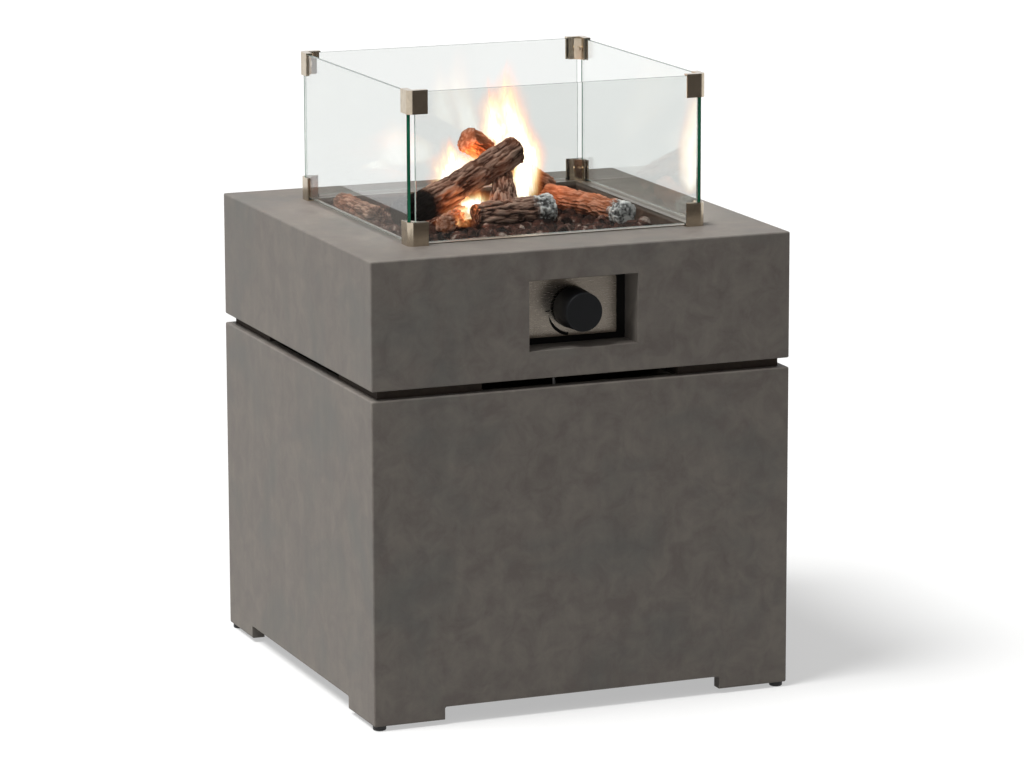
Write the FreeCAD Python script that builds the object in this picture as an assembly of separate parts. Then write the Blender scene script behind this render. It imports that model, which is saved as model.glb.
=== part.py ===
import FreeCAD, Part
import math
import os
from FreeCAD import Vector

os.makedirs("parts", exist_ok=True)

# A free-standing gas fire pit in millimetres. +Z is up, the control window looks along -Y,
# and the origin is on the floor under the middle of the body.

# Body: a pedestal, a shadow gap and a burner box above it
body_width = 600.0
body_depth = 600.0
pedestal_height = 439.5
shadow_gap = 12.5
burner_box_height = 172.5
panel_wall = 18.0
top_slab = 20.0
edge_round = 2.5
leg_width = 100.0
notch_height = 18.0
notch_round = 3.0
gusset_reach = 165.0
gusset_tip = 66.0
gusset_thickness = 18.0
spacer_inset = 12.0
spacer_reach = 147.0
spacer_tip = 40.0

# Feet and small screws
foot_height = 6.5
foot_radius = 9.0
foot_inset = 11.0
foot_round = 2.0
screw_radius = 2.0
screw_head_radius = 3.6
screw_head_height = 2.2
screw_length = 14.0
screw_clearance = 0.2
screw_end_gap = 1.0
foot_screw_sink = 3.4

# Bolts that tie the two boxes together
bolt_inset = 42.0
bolt_radius = 4.0
bolt_head_flats = 13.0
bolt_head_height = 5.3
washer_radius = 8.0
washer_thickness = 1.6
bolt_clearance = 0.5
insert_radius = 6.0
insert_length = 14.0
insert_end_wall = 1.0
bolt_end_gap = 2.0
thread_clearance = 0.05

# Base plate that carries the gas bottle, with a hole for a supply line under the gas inlet
sheet = 2.0
base_plate_gap = 1.0
base_plate_lift = 3.0
base_plate_flange = 20.0
base_screw_lift = 12.0
vent_slot_count = 5
vent_slot_width = 10.0
vent_slot_length = 150.0
vent_slot_pitch = 60.0
supply_hole_radius = 22.0
base_screw_spacing = 300.0

# Rear door on two pivots
door_opening_width = 400.0
door_opening_height = 370.0
door_sill = 43.5
door_gap = 2.0
pivot_pin_radius = 3.0
pivot_pin_grip = 14.0
pivot_pin_reach = 8.0
bush_radius = 5.0
bush_length = 10.0
bush_flange_radius = 7.0
bush_flange = 1.6
bush_floor_gap = 0.5
running_clearance = 0.05
pull_radius = 17.0
pull_bore_radius = 14.0
pull_flange_radius = 20.0
pull_flange = 1.5
pull_inset = 42.0
catch_length = 44.0
catch_reach = 20.0
catch_depth = 16.0
catch_tab = 6.0
catch_height = 16.0
catch_gap = 0.4
catch_drop = 48.0
strike_length = 17.0
strike_thickness = 1.4
strike_inset = 1.0

# Control window, its fascia and its backing panel
window_width = 156.0
window_height = 95.0
window_drop = 88.0
recess_depth = 45.0
recess_wall = 8.0
control_sheet = 1.5
fascia_width = 130.0
fascia_height = 77.0
fascia_sheet = 1.2
fascia_round = 2.0
panel_screw_radius = 1.5
panel_screw_head = 2.8
panel_screw_length = 9.0

# Knob and valve
knob_front_radius = 26.0
knob_base_radius = 28.0
knob_length = 40.3
knob_gap = 5.0
knob_push = 4.0
knob_round = 1.5
knob_wall = 2.5
knob_hub_radius = 8.0
spindle_radius = 4.0
spindle_grip = 20.0
spindle_flat = 2.6
spindle_hole_gap = 1.5
valve_radius = 15.0
valve_length = 40.0
valve_flange_width = 46.0
valve_flange_height = 30.0
valve_flange = 4.0
valve_screw_margin = 4.5
valve_front_wall = 6.0
chamber_radius = 8.3
chamber_length = 13.0
chamber_back_wall = 3.0
collar_radius = 7.0
collar_length = 1.5
washer_ring = 1.5
tang_radius = 3.0
tang_thickness = 3.0
tang_length = 8.0
plug_front_radius = 8.0
plug_rear_radius = 7.0
plug_length = 14.0
plug_port_radius = 2.0
slot_floor = 1.0
spring_wire = 0.45
spring_turns = 5
spring_end_gap = 0.3
port_radius = 7.0
port_reach = 27.0
magnet_unit_radius = 6.0
magnet_unit_length = 13.0
igniter_width = 14.0
igniter_height = 16.0
igniter_margin = 3.0

# Gas pipes and fittings
pipe_radius = 4.0
pipe_bore_radius = 3.0
pipe_bend = 16.0
pipe_socket = 8.0
pipe_side = 62.0
pipe_drop = 58.0
inlet_side = 60.0
inlet_bracket_lift = 16.0
inlet_bracket_width = 30.0
inlet_bracket_rise = 12.0
inlet_screw_lift = 7.2
inlet_thread_radius = 6.5
inlet_thread_length = 14.0
inlet_flats = 17.0
inlet_flange = 5.0
inlet_neck_radius = 5.5
inlet_neck_length = 9.0

# Burner tray, its shield and what stands in it
pit_opening = 398.0
tray_inner = 390.0
tray_wall = 1.5
tray_flange_width = 9.0
tray_depth = 62.0
tray_clip_width = 24.0
tray_clip_reach = 14.0
tray_clip_drop = 22.0
tray_clip_offset = 110.0
shield_gap = 12.0
shield_sheet = 1.2
shield_margin = 6.0
standoff_radius = 4.0
standoff_inset = 30.0
burner_side = 240.0
burner_corner = 30.0
burner_tube_radius = 7.0
burner_tube_wall = 1.0
burner_lift = 2.5
burner_hub_radius = 13.0
burner_port_radius = 1.0
burner_port_pitch = 24.0
saddle_width = 16.0
saddle_length = 24.0
mixer_radius = 10.0
mixer_wall = 1.5
mixer_length = 54.0
hatch_clearance = 2.0
air_port_radius = 3.5
air_port_lift = 14.0
shutter_wall = 1.5
shutter_height = 16.0
injector_flats = 14.0
injector_height = 10.0
injector_seat = 2.0
nozzle_radius = 3.5
nozzle_height = 8.0
nozzle_bore_radius = 0.6
grate_sheet = 1.5
grate_gap = 3.0
grate_clearance = 3.0
grate_hole_radius = 9.0
grate_hole_count = 9
grate_hole_pitch = 38.0
probe_side = 8.0
probe_offset = 17.0
probe_radius = 1.5
probe_rise = 13.0
probe_drop = 4.0
probe_window_margin = 2.0
ceramic_radius = 3.0
probe_plate_length = 40.0
probe_plate_width = 18.0
probe_plate_shift = 3.0
lead_radius = 1.5
lead_bend = 8.0
lead_drop = 30.0
lead_end_run = 14.0
lead_side = 16.0
lead_slack = 16.0

# Lava stones and ceramic logs
bed_depth = 18.0
bed_margin = 1.0
stone_size = 23.0
stone_pitch = 25.0
stone_row_inset = 22.0
stone_log_gap = 3.0
stone_jitter = 8.0

# Glass wind screen, held at its corners by clamps
screen_half = 214.0
glass_thickness = 5.0
glass_height = 200.0
glass_lift = 5.0
glass_corner_gap = 9.0
glass_play = 0.15
glass_chamfer = 0.4
clamp_leg = 28.0
clamp_height = 32.0
clamp_sheet = 2.0
clamp_round = 8.0
clamp_top_gap = 0.5
clamp_boss = 8.3
clamp_inner_leg = 25.0
clamp_inner_sheet = 2.2
clamp_web = 8.0
clamp_screw_radius = 2.0
clamp_screw_head_radius = 3.8
clamp_screw_head_height = 2.6
clamp_tap_wall = 1.4

# How far a cutting shape runs past the face it cuts
past = 1.0

# Levels and faces worked out from the sizes above
pedestal_bottom = foot_height
pedestal_top = pedestal_bottom + pedestal_height
box_bottom = pedestal_top + shadow_gap
box_top = box_bottom + burner_box_height
half_width = body_width / 2
half_depth = body_depth / 2
inner_x = half_width - panel_wall
inner_y = half_depth - panel_wall
front_face = -half_depth
rear_face = half_depth
window_level = box_top - window_drop
panel_face = front_face + recess_depth
panel_back = panel_face + control_sheet
fascia_face = panel_face - fascia_sheet
tray_outer = tray_inner / 2 + tray_wall
tray_floor = box_top - tray_depth
tray_inside = tray_floor + tray_wall
burner_level = tray_inside + burner_lift + burner_tube_radius
grate_top = burner_level + burner_tube_radius + grate_gap + grate_sheet
bed_top = box_top - bed_depth
shield_top = tray_floor - shield_gap
gas_line_y = panel_back + valve_front_wall + chamber_length + chamber_back_wall + plug_length / 2
mixer_top = burner_level - burner_tube_radius
mixer_bottom = mixer_top - mixer_length
corners = [(1, 1), (-1, 1), (1, -1), (-1, -1)]


def block(x_range, y_range, z_range):
    size = [b - a for a, b in (x_range, y_range, z_range)]
    return Part.makeBox(*size, Vector(x_range[0], y_range[0], z_range[0]))


def rod(radius, start, end):
    axis = Vector(*end) - Vector(*start)
    return Part.makeCylinder(radius, axis.Length, Vector(*start), axis)


def cone(start_radius, end_radius, start, end):
    axis = Vector(*end) - Vector(*start)
    return Part.makeCone(start_radius, end_radius, axis.Length, Vector(*start), axis)


def prism(points, z_range):
    outline = [Vector(x, y, z_range[0]) for x, y in points]
    face = Part.Face(Part.makePolygon(outline + outline[:1]))
    return face.extrude(Vector(0, 0, z_range[1] - z_range[0]))


def hexagon(flats, start, height, axis="z"):
    radius = flats / math.sqrt(3)
    ring = [(radius * math.cos(k * math.pi / 3), radius * math.sin(k * math.pi / 3)) for k in range(6)]
    shape = prism(ring, (0, height))
    if axis == "-z":
        shape.rotate(Vector(0, 0, 0), Vector(1, 0, 0), 180)
    shape.translate(Vector(*start))
    return shape


def single(shape):
    return shape.Solids[0] if len(shape.Solids) == 1 else shape


def joined(*shapes):
    return single(shapes[0].multiFuse(list(shapes[1:])).removeSplitter())


def cut(shape, tools):
    return single(shape.cut(tools))


def group(shapes):
    return Part.makeCompound(shapes)


def rounded_block(x_range, y_range, z_range, radius):
    shape = block(x_range, y_range, z_range)
    return shape.makeFillet(radius, shape.Edges)


def mirrored(shape, side_x, side_y):
    if side_x < 0:
        shape = shape.mirror(Vector(0, 0, 0), Vector(1, 0, 0))
    if side_y < 0:
        shape = shape.mirror(Vector(0, 0, 0), Vector(0, 1, 0))
    return shape


def at_corners(shape):
    return [mirrored(shape.copy(), sx, sy) for sx, sy in corners]


def bent_path(points, bend):
    """Straight runs joined by tangent arcs of one radius."""
    points = [Vector(*p) for p in points]
    edges = []
    start = points[0]
    for before, corner, after in zip(points, points[1:], points[2:]):
        incoming = (corner - before).normalize()
        outgoing = (after - corner).normalize()
        half_turn = incoming.getAngle(outgoing) / 2
        reach = bend * math.tan(half_turn)
        enter = corner - incoming * reach
        leave = corner + outgoing * reach
        inward = (outgoing - incoming).normalize()
        centre = corner + inward * (bend / math.cos(half_turn))
        middle = centre - inward * bend
        edges.append(Part.LineSegment(start, enter).toShape())
        edges.append(Part.Arc(enter, middle, leave).toShape())
        start = leave
    edges.append(Part.LineSegment(start, points[-1]).toShape())
    return Part.Wire(edges)


def bent_rod(points, radius, bend):
    path = bent_path(points, bend)
    direction = Vector(*points[1]) - Vector(*points[0])
    profile = Part.Wire(Part.makeCircle(radius, Vector(*points[0]), direction))
    return single(path.makePipeShell([profile], True, False))


def corner_plate(outer_x, outer_y, reach_x, reach_y, tip, z_range):
    outline = [(outer_x, outer_y), (outer_x - reach_x, outer_y), (outer_x - reach_x, outer_y - tip)]
    outline += [(outer_x - tip, outer_y - reach_y), (outer_x, outer_y - reach_y)]
    return prism(outline, z_range)


def corner_gusset(z_range):
    overlap = panel_wall / 2
    reach = gusset_reach - overlap
    tip = gusset_tip - overlap
    return corner_plate(half_width - overlap, half_depth - overlap, reach, reach, tip, z_range)


def leg_notch(half_length, half_span, along_y):
    """A bar with rounded upper edges that cuts the space between two legs."""
    z_range = (pedestal_bottom - notch_round, pedestal_bottom + notch_height)
    bar = block((-half_span, half_span), (-half_length, half_length), z_range)
    upper = [e for e in bar.Edges if e.BoundBox.ZMin > z_range[1] - 0.01 and e.BoundBox.YLength > half_length]
    bar = bar.makeFillet(notch_round, upper)
    if not along_y:
        bar.rotate(Vector(0, 0, 0), Vector(0, 0, 1), 90)
    return bar


# Pedestal

door_bottom = pedestal_bottom + door_sill
door_top = door_bottom + door_opening_height
door_half = door_opening_width / 2
pivot_x = door_half - door_gap - panel_wall / 2
pivot_y = rear_face - panel_wall / 2
bolt_x = half_width - bolt_inset
bolt_y = half_depth - bolt_inset
foot_x = half_width - foot_inset
foot_y = half_depth - foot_inset
base_plate_bottom = pedestal_bottom + notch_height + base_plate_lift
base_screw_level = base_plate_bottom + base_screw_lift


def at_pivot(z):
    return (pivot_x, pivot_y, z)


def at_bolt(z):
    return (bolt_x, bolt_y, z)


def at_foot(z):
    return (foot_x, foot_y, z)


def base_screw_places():
    """Start point and outward direction of each screw through the base plate's flange."""
    x = inner_x - base_plate_gap - sheet
    y = inner_y - base_plate_gap - sheet
    places = []
    for side in (-1, 1):
        for half in (-base_screw_spacing / 2, base_screw_spacing / 2):
            places.append((Vector(side * x, half, base_screw_level), Vector(side, 0, 0)))
            places.append((Vector(half, side * y, base_screw_level), Vector(0, side, 0)))
    return places


def make_pedestal_shell():
    z_range = (pedestal_bottom, pedestal_top)
    outside = rounded_block((-half_width, half_width), (-half_depth, half_depth), z_range, edge_round)
    inside_z = (pedestal_bottom - past, pedestal_top + past)
    shell = cut(outside, [block((-inner_x, inner_x), (-inner_y, inner_y), inside_z)])
    gusset = corner_gusset((pedestal_top - gusset_thickness, pedestal_top))
    shell = joined(shell, *[single(g.common(outside)) for g in at_corners(gusset)])
    tools = [
        leg_notch(half_depth + past, half_width - leg_width, True),
        leg_notch(half_width + past, half_depth - leg_width, False),
        block((-door_half, door_half), (inner_y - past, rear_face + past), (door_bottom, door_top)),
        rod(bush_radius, at_pivot(door_bottom - bush_length), at_pivot(door_bottom + past)),
        rod(bush_radius, at_pivot(door_top - past), at_pivot(door_top + bush_length)),
    ]
    bolt_hole = rod(
        bolt_radius + bolt_clearance, at_bolt(inside_z[1]), (bolt_x, bolt_y, door_bottom)
    )
    screw_hole = rod(
        screw_radius + screw_clearance,
        at_foot(pedestal_bottom - past),
        at_foot(pedestal_bottom + screw_length),
    )
    tools += at_corners(bolt_hole) + at_corners(screw_hole)
    for start, out in base_screw_places():
        tools.append(Part.makeCylinder(screw_radius + screw_clearance, screw_length, start, out))
    return cut(shell, tools)


def make_foot(side_x, side_y):
    pad = rod(foot_radius, at_foot(0), at_foot(foot_height))
    lower_edge = [e for e in pad.Edges if e.BoundBox.ZMax < 0.01]
    pad = pad.makeFillet(foot_round, lower_edge)
    hole = rod(screw_radius + screw_clearance, at_foot(-past), at_foot(foot_height + past))
    sink = rod(screw_head_radius + screw_clearance, at_foot(-past), at_foot(foot_screw_sink))
    return mirrored(cut(pad, [hole, sink]), side_x, side_y)


def headed_screw(start, out, length, radius, head_radius, head_height):
    """A shank along out from start, with its head behind start."""
    shank = Part.makeCylinder(radius, length, start, out)
    head = Part.makeCylinder(head_radius, head_height, start - out * head_height, out)
    return joined(shank, head)


def make_foot_screws():
    seat = Vector(foot_x, foot_y, foot_screw_sink)
    length = foot_height - foot_screw_sink + screw_length - screw_end_gap
    sizes = (length, screw_radius, screw_head_radius, screw_head_height)
    return group(at_corners(headed_screw(seat, Vector(0, 0, 1), *sizes)))


def make_base_plate():
    x = inner_x - base_plate_gap
    y = inner_y - base_plate_gap
    bottom = base_plate_bottom
    top = bottom + base_plate_flange
    pan = block((-x, x), (-y, y), (bottom, top))
    hollow = block((-x + sheet, x - sheet), (-y + sheet, y - sheet), (bottom + sheet, top + past))
    tools = [hollow]
    for index in range(vent_slot_count):
        offset = (index - (vent_slot_count - 1) / 2) * vent_slot_pitch
        for side in (-1, 1):
            middle = side * (vent_slot_length / 2 + vent_slot_width)
            span = (middle - vent_slot_length / 2, middle + vent_slot_length / 2)
            row = (offset - vent_slot_width / 2, offset + vent_slot_width / 2)
            tools.append(block(span, row, (bottom - past, bottom + sheet + past)))
    for start, out in base_screw_places():
        hole_radius = screw_radius + screw_clearance
        tools.append(Part.makeCylinder(hole_radius, sheet + 2 * past, start - out * past, out))
    tools.append(rod(supply_hole_radius, (*inlet_place, bottom - past), (*inlet_place, bottom + sheet + past)))
    return cut(pan, tools)


def make_wall_screws():
    """Screws through the base plate's flange and the inlet bracket into the walls."""
    bracket_seat = Vector(-inlet_side, -inner_y + sheet, inlet_screw_level)
    places = base_screw_places() + [(bracket_seat, Vector(0, -1, 0))]
    sizes = (screw_length - screw_end_gap, screw_radius, screw_head_radius, screw_head_height)
    return group([headed_screw(start, out, *sizes) for start, out in places])


# Rear door

pull_x = -door_half + door_gap + pull_inset
pull_z = (door_bottom + door_top) / 2
catch_z = door_top - catch_drop


def at_pull(y):
    return (pull_x, y, pull_z)


def make_rear_door():
    z_range = (door_bottom + door_gap, door_top - door_gap)
    slab = block((-door_half + door_gap, pivot_x), (inner_y, rear_face), z_range)
    edge = rod(panel_wall / 2, at_pivot(z_range[0]), at_pivot(z_range[1]))
    door = joined(slab, edge)
    tools = [
        rod(pivot_pin_radius, at_pivot(z_range[0] - past), at_pivot(z_range[0] + pivot_pin_grip)),
        rod(pivot_pin_radius, at_pivot(z_range[1] - pivot_pin_grip), at_pivot(z_range[1] + past)),
        rod(pull_radius, at_pull(inner_y - past), at_pull(rear_face + past)),
        rod(pull_flange_radius, at_pull(rear_face - pull_flange), at_pull(rear_face + past)),
    ]
    return cut(door, tools)


def make_pivot_pins():
    length = pivot_pin_grip + door_gap + pivot_pin_reach
    low = door_bottom + door_gap + pivot_pin_grip
    high = door_top - door_gap - pivot_pin_grip
    lower = rod(pivot_pin_radius, at_pivot(low - length), at_pivot(low))
    upper = rod(pivot_pin_radius, at_pivot(high), at_pivot(high + length))
    return group([lower, upper])


def make_pivot_bushes():
    bushes = []
    for seat, out in ((door_bottom, 1), (door_top, -1)):
        deep = seat - out * bush_length
        body = rod(bush_radius, at_pivot(deep), at_pivot(seat))
        flange = rod(bush_flange_radius, at_pivot(seat), at_pivot(seat + out * bush_flange))
        bore_radius = pivot_pin_radius + running_clearance
        bore_end = seat - out * (pivot_pin_reach + bush_floor_gap)
        bore = rod(bore_radius, at_pivot(bore_end), at_pivot(seat + out * door_gap))
        bushes.append(cut(joined(body, flange), [bore]))
    return group(bushes)


def make_door_pull():
    ring = rod(pull_radius, at_pull(inner_y), at_pull(rear_face))
    rim = rod(pull_flange_radius, at_pull(rear_face - pull_flange), at_pull(rear_face))
    bore = rod(pull_bore_radius, at_pull(inner_y - past), at_pull(rear_face + past))
    return cut(joined(ring, rim), [bore])


def make_catch_magnet():
    strike_face = inner_y - strike_thickness
    jamb = -door_half
    z_range = (catch_z - catch_height / 2, catch_z + catch_height / 2)
    near = strike_face - catch_gap
    body = block((jamb - catch_length / 2, jamb + catch_reach), (near - catch_depth, near), z_range)
    tab = block((jamb - catch_length / 2, jamb - door_gap), (near - catch_tab, inner_y), z_range)
    return joined(body, tab)


def make_catch_strike():
    start = -door_half + door_gap + strike_inset
    z_range = (catch_z - catch_height / 2, catch_z + catch_height / 2)
    return block((start, start + strike_length), (inner_y - strike_thickness, inner_y), z_range)


# Spacers and bolts

def make_corner_spacers():
    plate = corner_plate(
        half_width - spacer_inset,
        half_depth - spacer_inset,
        spacer_reach,
        spacer_reach,
        spacer_tip,
        (pedestal_top, box_bottom),
    )
    hole = rod(bolt_radius + bolt_clearance, at_bolt(pedestal_top - past), at_bolt(box_bottom + past))
    return [mirrored(cut(plate, [hole]), sx, sy) for sx, sy in corners]


def make_box_bolts():
    seat = pedestal_top - gusset_thickness
    washer = rod(washer_radius, at_bolt(seat - washer_thickness), at_bolt(seat))
    head = hexagon(bolt_head_flats, at_bolt(seat - washer_thickness), bolt_head_height, "-z")
    tip = box_bottom + insert_length - bolt_end_gap
    shank = rod(bolt_radius, at_bolt(seat - washer_thickness), at_bolt(tip))
    return group(at_corners(joined(washer, head, shank)))


def make_box_inserts():
    top = box_bottom + insert_length
    sleeve = rod(insert_radius, at_bolt(box_bottom), at_bolt(top))
    bore = rod(bolt_radius + thread_clearance, at_bolt(box_bottom - past), at_bolt(top - insert_end_wall))
    return group(at_corners(cut(sleeve, [bore])))


# Burner box and control panel

recess_x = window_width / 2 + recess_wall
recess_z = window_height / 2 + recess_wall
panel_screw_x = recess_x - recess_wall / 2
panel_screw_z = recess_z - recess_wall / 2


def panel_screw_places():
    return [Vector(sx * panel_screw_x, panel_back, window_level + sz * panel_screw_z) for sx, sz in corners]


def make_burner_box():
    z_range = (box_bottom, box_top)
    outside = rounded_block((-half_width, half_width), (-half_depth, half_depth), z_range, edge_round)
    cavity = block((-inner_x, inner_x), (-inner_y, inner_y), (box_bottom - past, box_top - top_slab))
    gusset = corner_gusset((box_bottom, box_bottom + gusset_thickness))
    gussets = [single(g.common(outside)) for g in at_corners(gusset)]
    tunnel = block(
        (-recess_x, recess_x),
        (-inner_y - past, panel_face),
        (window_level - recess_z, window_level + recess_z),
    )
    box = joined(cut(outside, [cavity]), tunnel, *gussets)
    half = pit_opening / 2
    window_z = (window_level - window_height / 2, window_level + window_height / 2)
    tools = [
        block((-half, half), (-half, half), (box_top - top_slab - past, box_top + past)),
        block((-window_width / 2, window_width / 2), (front_face - past, panel_face + past), window_z),
    ]
    insert_hole = rod(insert_radius, at_bolt(box_bottom - past), at_bolt(box_bottom + insert_length))
    tools += at_corners(insert_hole)
    depth = panel_screw_length - control_sheet + past
    for place in panel_screw_places():
        start = place - Vector(0, control_sheet, 0)
        tools.append(Part.makeCylinder(panel_screw_radius + screw_clearance, depth, start, Vector(0, -1, 0)))
    start = Vector(-inlet_side, -inner_y + sheet, inlet_screw_level)
    tools.append(Part.makeCylinder(screw_radius + screw_clearance, screw_length, start, Vector(0, -1, 0)))
    return cut(box, tools)


def make_control_panel():
    z_range = (window_level - recess_z, window_level + recess_z)
    panel = block((-recess_x, recess_x), (panel_face, panel_back), z_range)
    tools = [rod(spindle_radius + spindle_hole_gap, on_axis(panel_face - past), on_axis(panel_back + past))]
    for place in panel_screw_places():
        hole_radius = panel_screw_radius + screw_clearance
        tools.append(Part.makeCylinder(hole_radius, 2 * control_sheet, place, Vector(0, -1, 0)))
    for x in valve_screw_places:
        end = (x, panel_back + past, window_level)
        tools.append(rod(panel_screw_radius, (x, panel_face - past, window_level), end))
    return cut(panel, tools)


def make_control_fascia():
    z_range = (window_level - fascia_height / 2, window_level + fascia_height / 2)
    plate = block((-fascia_width / 2, fascia_width / 2), (fascia_face, panel_face), z_range)
    plate = plate.makeFillet(fascia_round, [e for e in plate.Edges if e.BoundBox.YLength > fascia_sheet / 2])
    hole = rod(spindle_radius + spindle_hole_gap, on_axis(fascia_face - past), on_axis(panel_face + past))
    return cut(plate, [hole])


def make_panel_screws():
    """Four screws that hold the panel to the box, and two that hold the valve to the panel."""
    toward = Vector(0, -1, 0)
    head = (panel_screw_radius, panel_screw_head, screw_head_height)
    screws = [headed_screw(place, toward, panel_screw_length, *head) for place in panel_screw_places()]
    length = valve_flange + control_sheet
    for x in valve_screw_places:
        seat = Vector(x, valve_front + valve_flange, window_level)
        screws.append(headed_screw(seat, toward, length, *head))
    return group(screws)


# Knob, spindle and valve. Stations run along +Y from the panel's back.

knob_base = fascia_face - knob_gap
knob_face = knob_base - knob_length
valve_front = panel_back
chamber_front = valve_front + valve_front_wall
chamber_back = chamber_front + chamber_length
plug_front = chamber_back + chamber_back_wall
plug_back = plug_front + plug_length
valve_back = valve_front + valve_length
collar_front = chamber_front + running_clearance
washer_front = collar_front + collar_length + running_clearance
washer_back = washer_front + washer_ring
spindle_front = knob_base - spindle_grip
tang_tip = plug_front + tang_length
valve_screw_side = valve_flange_width / 2 - valve_screw_margin
valve_screw_places = (-valve_screw_side, valve_screw_side)


def on_axis(y):
    return (0, y, window_level)


def make_knob():
    body = cone(knob_front_radius, knob_base_radius, on_axis(knob_face), on_axis(knob_base))
    front_edge = [e for e in body.Edges if e.BoundBox.YMax < knob_face + 0.01]
    body = body.makeFillet(knob_round, front_edge)
    hollow_radius = knob_front_radius - knob_wall
    hollow = rod(hollow_radius, on_axis(spindle_front - knob_wall), on_axis(knob_base + past))
    hub = rod(knob_hub_radius, on_axis(spindle_front - knob_wall - past), on_axis(knob_base))
    shaft = spindle_profile(spindle_front, knob_base + past, spindle_radius)
    return cut(joined(cut(body, [hollow]), hub), [shaft])


def spindle_profile(start, end, radius):
    """A round shaft with one flat on its upper side."""
    shaft = rod(radius, on_axis(start), on_axis(end))
    level = window_level + spindle_flat
    flat = block((-radius, radius), (start - past, end + past), (level, level + radius))
    return cut(shaft, [flat])


def make_valve_spindle():
    grip = spindle_profile(spindle_front, knob_base, spindle_radius)
    neck = rod(spindle_radius, on_axis(knob_base), on_axis(collar_front))
    collar = rod(collar_radius, on_axis(collar_front), on_axis(collar_front + collar_length))
    tail = rod(tang_radius, on_axis(collar_front + collar_length), on_axis(tang_tip))
    side = tang_thickness / 2
    cheek_z = (window_level - 2 * tang_radius, window_level + 2 * tang_radius)
    cheeks = [
        block((a, b), (plug_front - knob_push, tang_tip + past), cheek_z)
        for a, b in ((-2 * tang_radius, -side), (side, 2 * tang_radius))
    ]
    return joined(grip, neck, collar, cut(tail, cheeks))


def make_thrust_washer():
    ring = rod(collar_radius, on_axis(washer_front), on_axis(washer_back))
    bore_radius = tang_radius + running_clearance
    return cut(ring, [rod(bore_radius, on_axis(washer_front - past), on_axis(washer_back + past))])


def make_return_spring():
    start = washer_back + spring_end_gap + spring_wire
    end = chamber_back - spring_end_gap - spring_wire
    radius = (tang_radius + collar_radius) / 2
    helix = Part.makeHelix((end - start) / spring_turns, end - start, radius)
    profile = Part.Wire(Part.makeCircle(spring_wire, Vector(radius, 0, 0), Vector(0, 1, 0)))
    coil = single(Part.Wire(helix).makePipeShell([profile], True, True))
    coil.rotate(Vector(0, 0, 0), Vector(1, 0, 0), -90)
    coil.translate(Vector(*on_axis(start)))
    return coil


def make_valve_plug():
    end = on_axis(plug_back - running_clearance)
    body = cone(plug_front_radius, plug_rear_radius, on_axis(plug_front), end)
    side = tang_thickness / 2 + running_clearance * 2
    high = tang_radius + running_clearance * 2
    slot_end = plug_back - slot_floor
    slot = block((-side, side), (plug_front - past, slot_end), (window_level - high, window_level + high))
    port_start = (-2 * plug_front_radius, gas_line_y, window_level)
    port = rod(plug_port_radius, port_start, on_axis(gas_line_y))
    return cut(body, [slot, port])


def make_gas_valve():
    body = rod(valve_radius, on_axis(valve_front), on_axis(valve_back))
    flange = block(
        (-valve_flange_width / 2, valve_flange_width / 2),
        (valve_front, valve_front + valve_flange),
        (window_level - valve_flange_height / 2, window_level + valve_flange_height / 2),
    )
    ports = rod(port_radius, (-port_reach, gas_line_y, window_level), (port_reach, gas_line_y, window_level))
    shape = joined(body, flange, ports)
    play = running_clearance
    tools = [
        rod(spindle_radius + play, on_axis(valve_front - past), on_axis(chamber_front + past)),
        rod(chamber_radius, on_axis(chamber_front), on_axis(chamber_back)),
        rod(tang_radius + play, on_axis(chamber_back - past), on_axis(plug_front + past)),
    ]
    seat_front = on_axis(plug_front - play)
    tools.append(cone(plug_front_radius + play, plug_rear_radius + play, seat_front, on_axis(plug_back)))
    for side in (-1, 1):
        mouth = (side * port_reach, gas_line_y, window_level)
        seat = (side * (port_reach - pipe_socket), gas_line_y, window_level)
        tools.append(rod(pipe_radius, seat, mouth))
        tools.append(rod(plug_port_radius, on_axis(gas_line_y), mouth))
    for x in valve_screw_places:
        end = (x, valve_front + valve_flange + past, window_level)
        tools.append(rod(panel_screw_radius, (x, valve_front - past, window_level), end))
    return cut(shape, tools)


def make_magnet_unit():
    return rod(magnet_unit_radius, on_axis(valve_back), on_axis(valve_back + magnet_unit_length))


def make_spark_igniter():
    low = window_level - valve_radius - igniter_height
    half = igniter_width / 2
    y_range = (valve_front + valve_flange + igniter_margin, valve_back - igniter_margin)
    case = block((-half, half), y_range, (low, window_level))
    return cut(case, [rod(valve_radius, on_axis(valve_front), on_axis(valve_back + past))])


# Gas pipes

inlet_bracket_level = box_bottom + inlet_bracket_lift
inlet_screw_level = inlet_bracket_level + inlet_screw_lift
inlet_place = (-inlet_side, gas_line_y)
gas_run_level = window_level - pipe_drop


def pipe_between(points):
    outer = bent_rod(points, pipe_radius, pipe_bend)
    return cut(outer, [bent_rod(points, pipe_bore_radius, pipe_bend)])


def make_gas_pipe():
    start_x = port_reach - pipe_socket
    points = [
        (start_x, gas_line_y, window_level),
        (pipe_side, gas_line_y, window_level),
        (pipe_side, gas_line_y + pipe_drop, gas_run_level),
        (pipe_side, 0, gas_run_level),
        (0, 0, gas_run_level),
        (0, 0, mixer_bottom - injector_height + pipe_socket / 2),
    ]
    return pipe_between(points)


def make_inlet_pipe():
    x, y = inlet_place
    low = inlet_bracket_level + sheet + inlet_neck_length - pipe_socket / 2
    start_x = -port_reach + pipe_socket
    return pipe_between([(x, y, low), (x, y, window_level), (start_x, y, window_level)])


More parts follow.
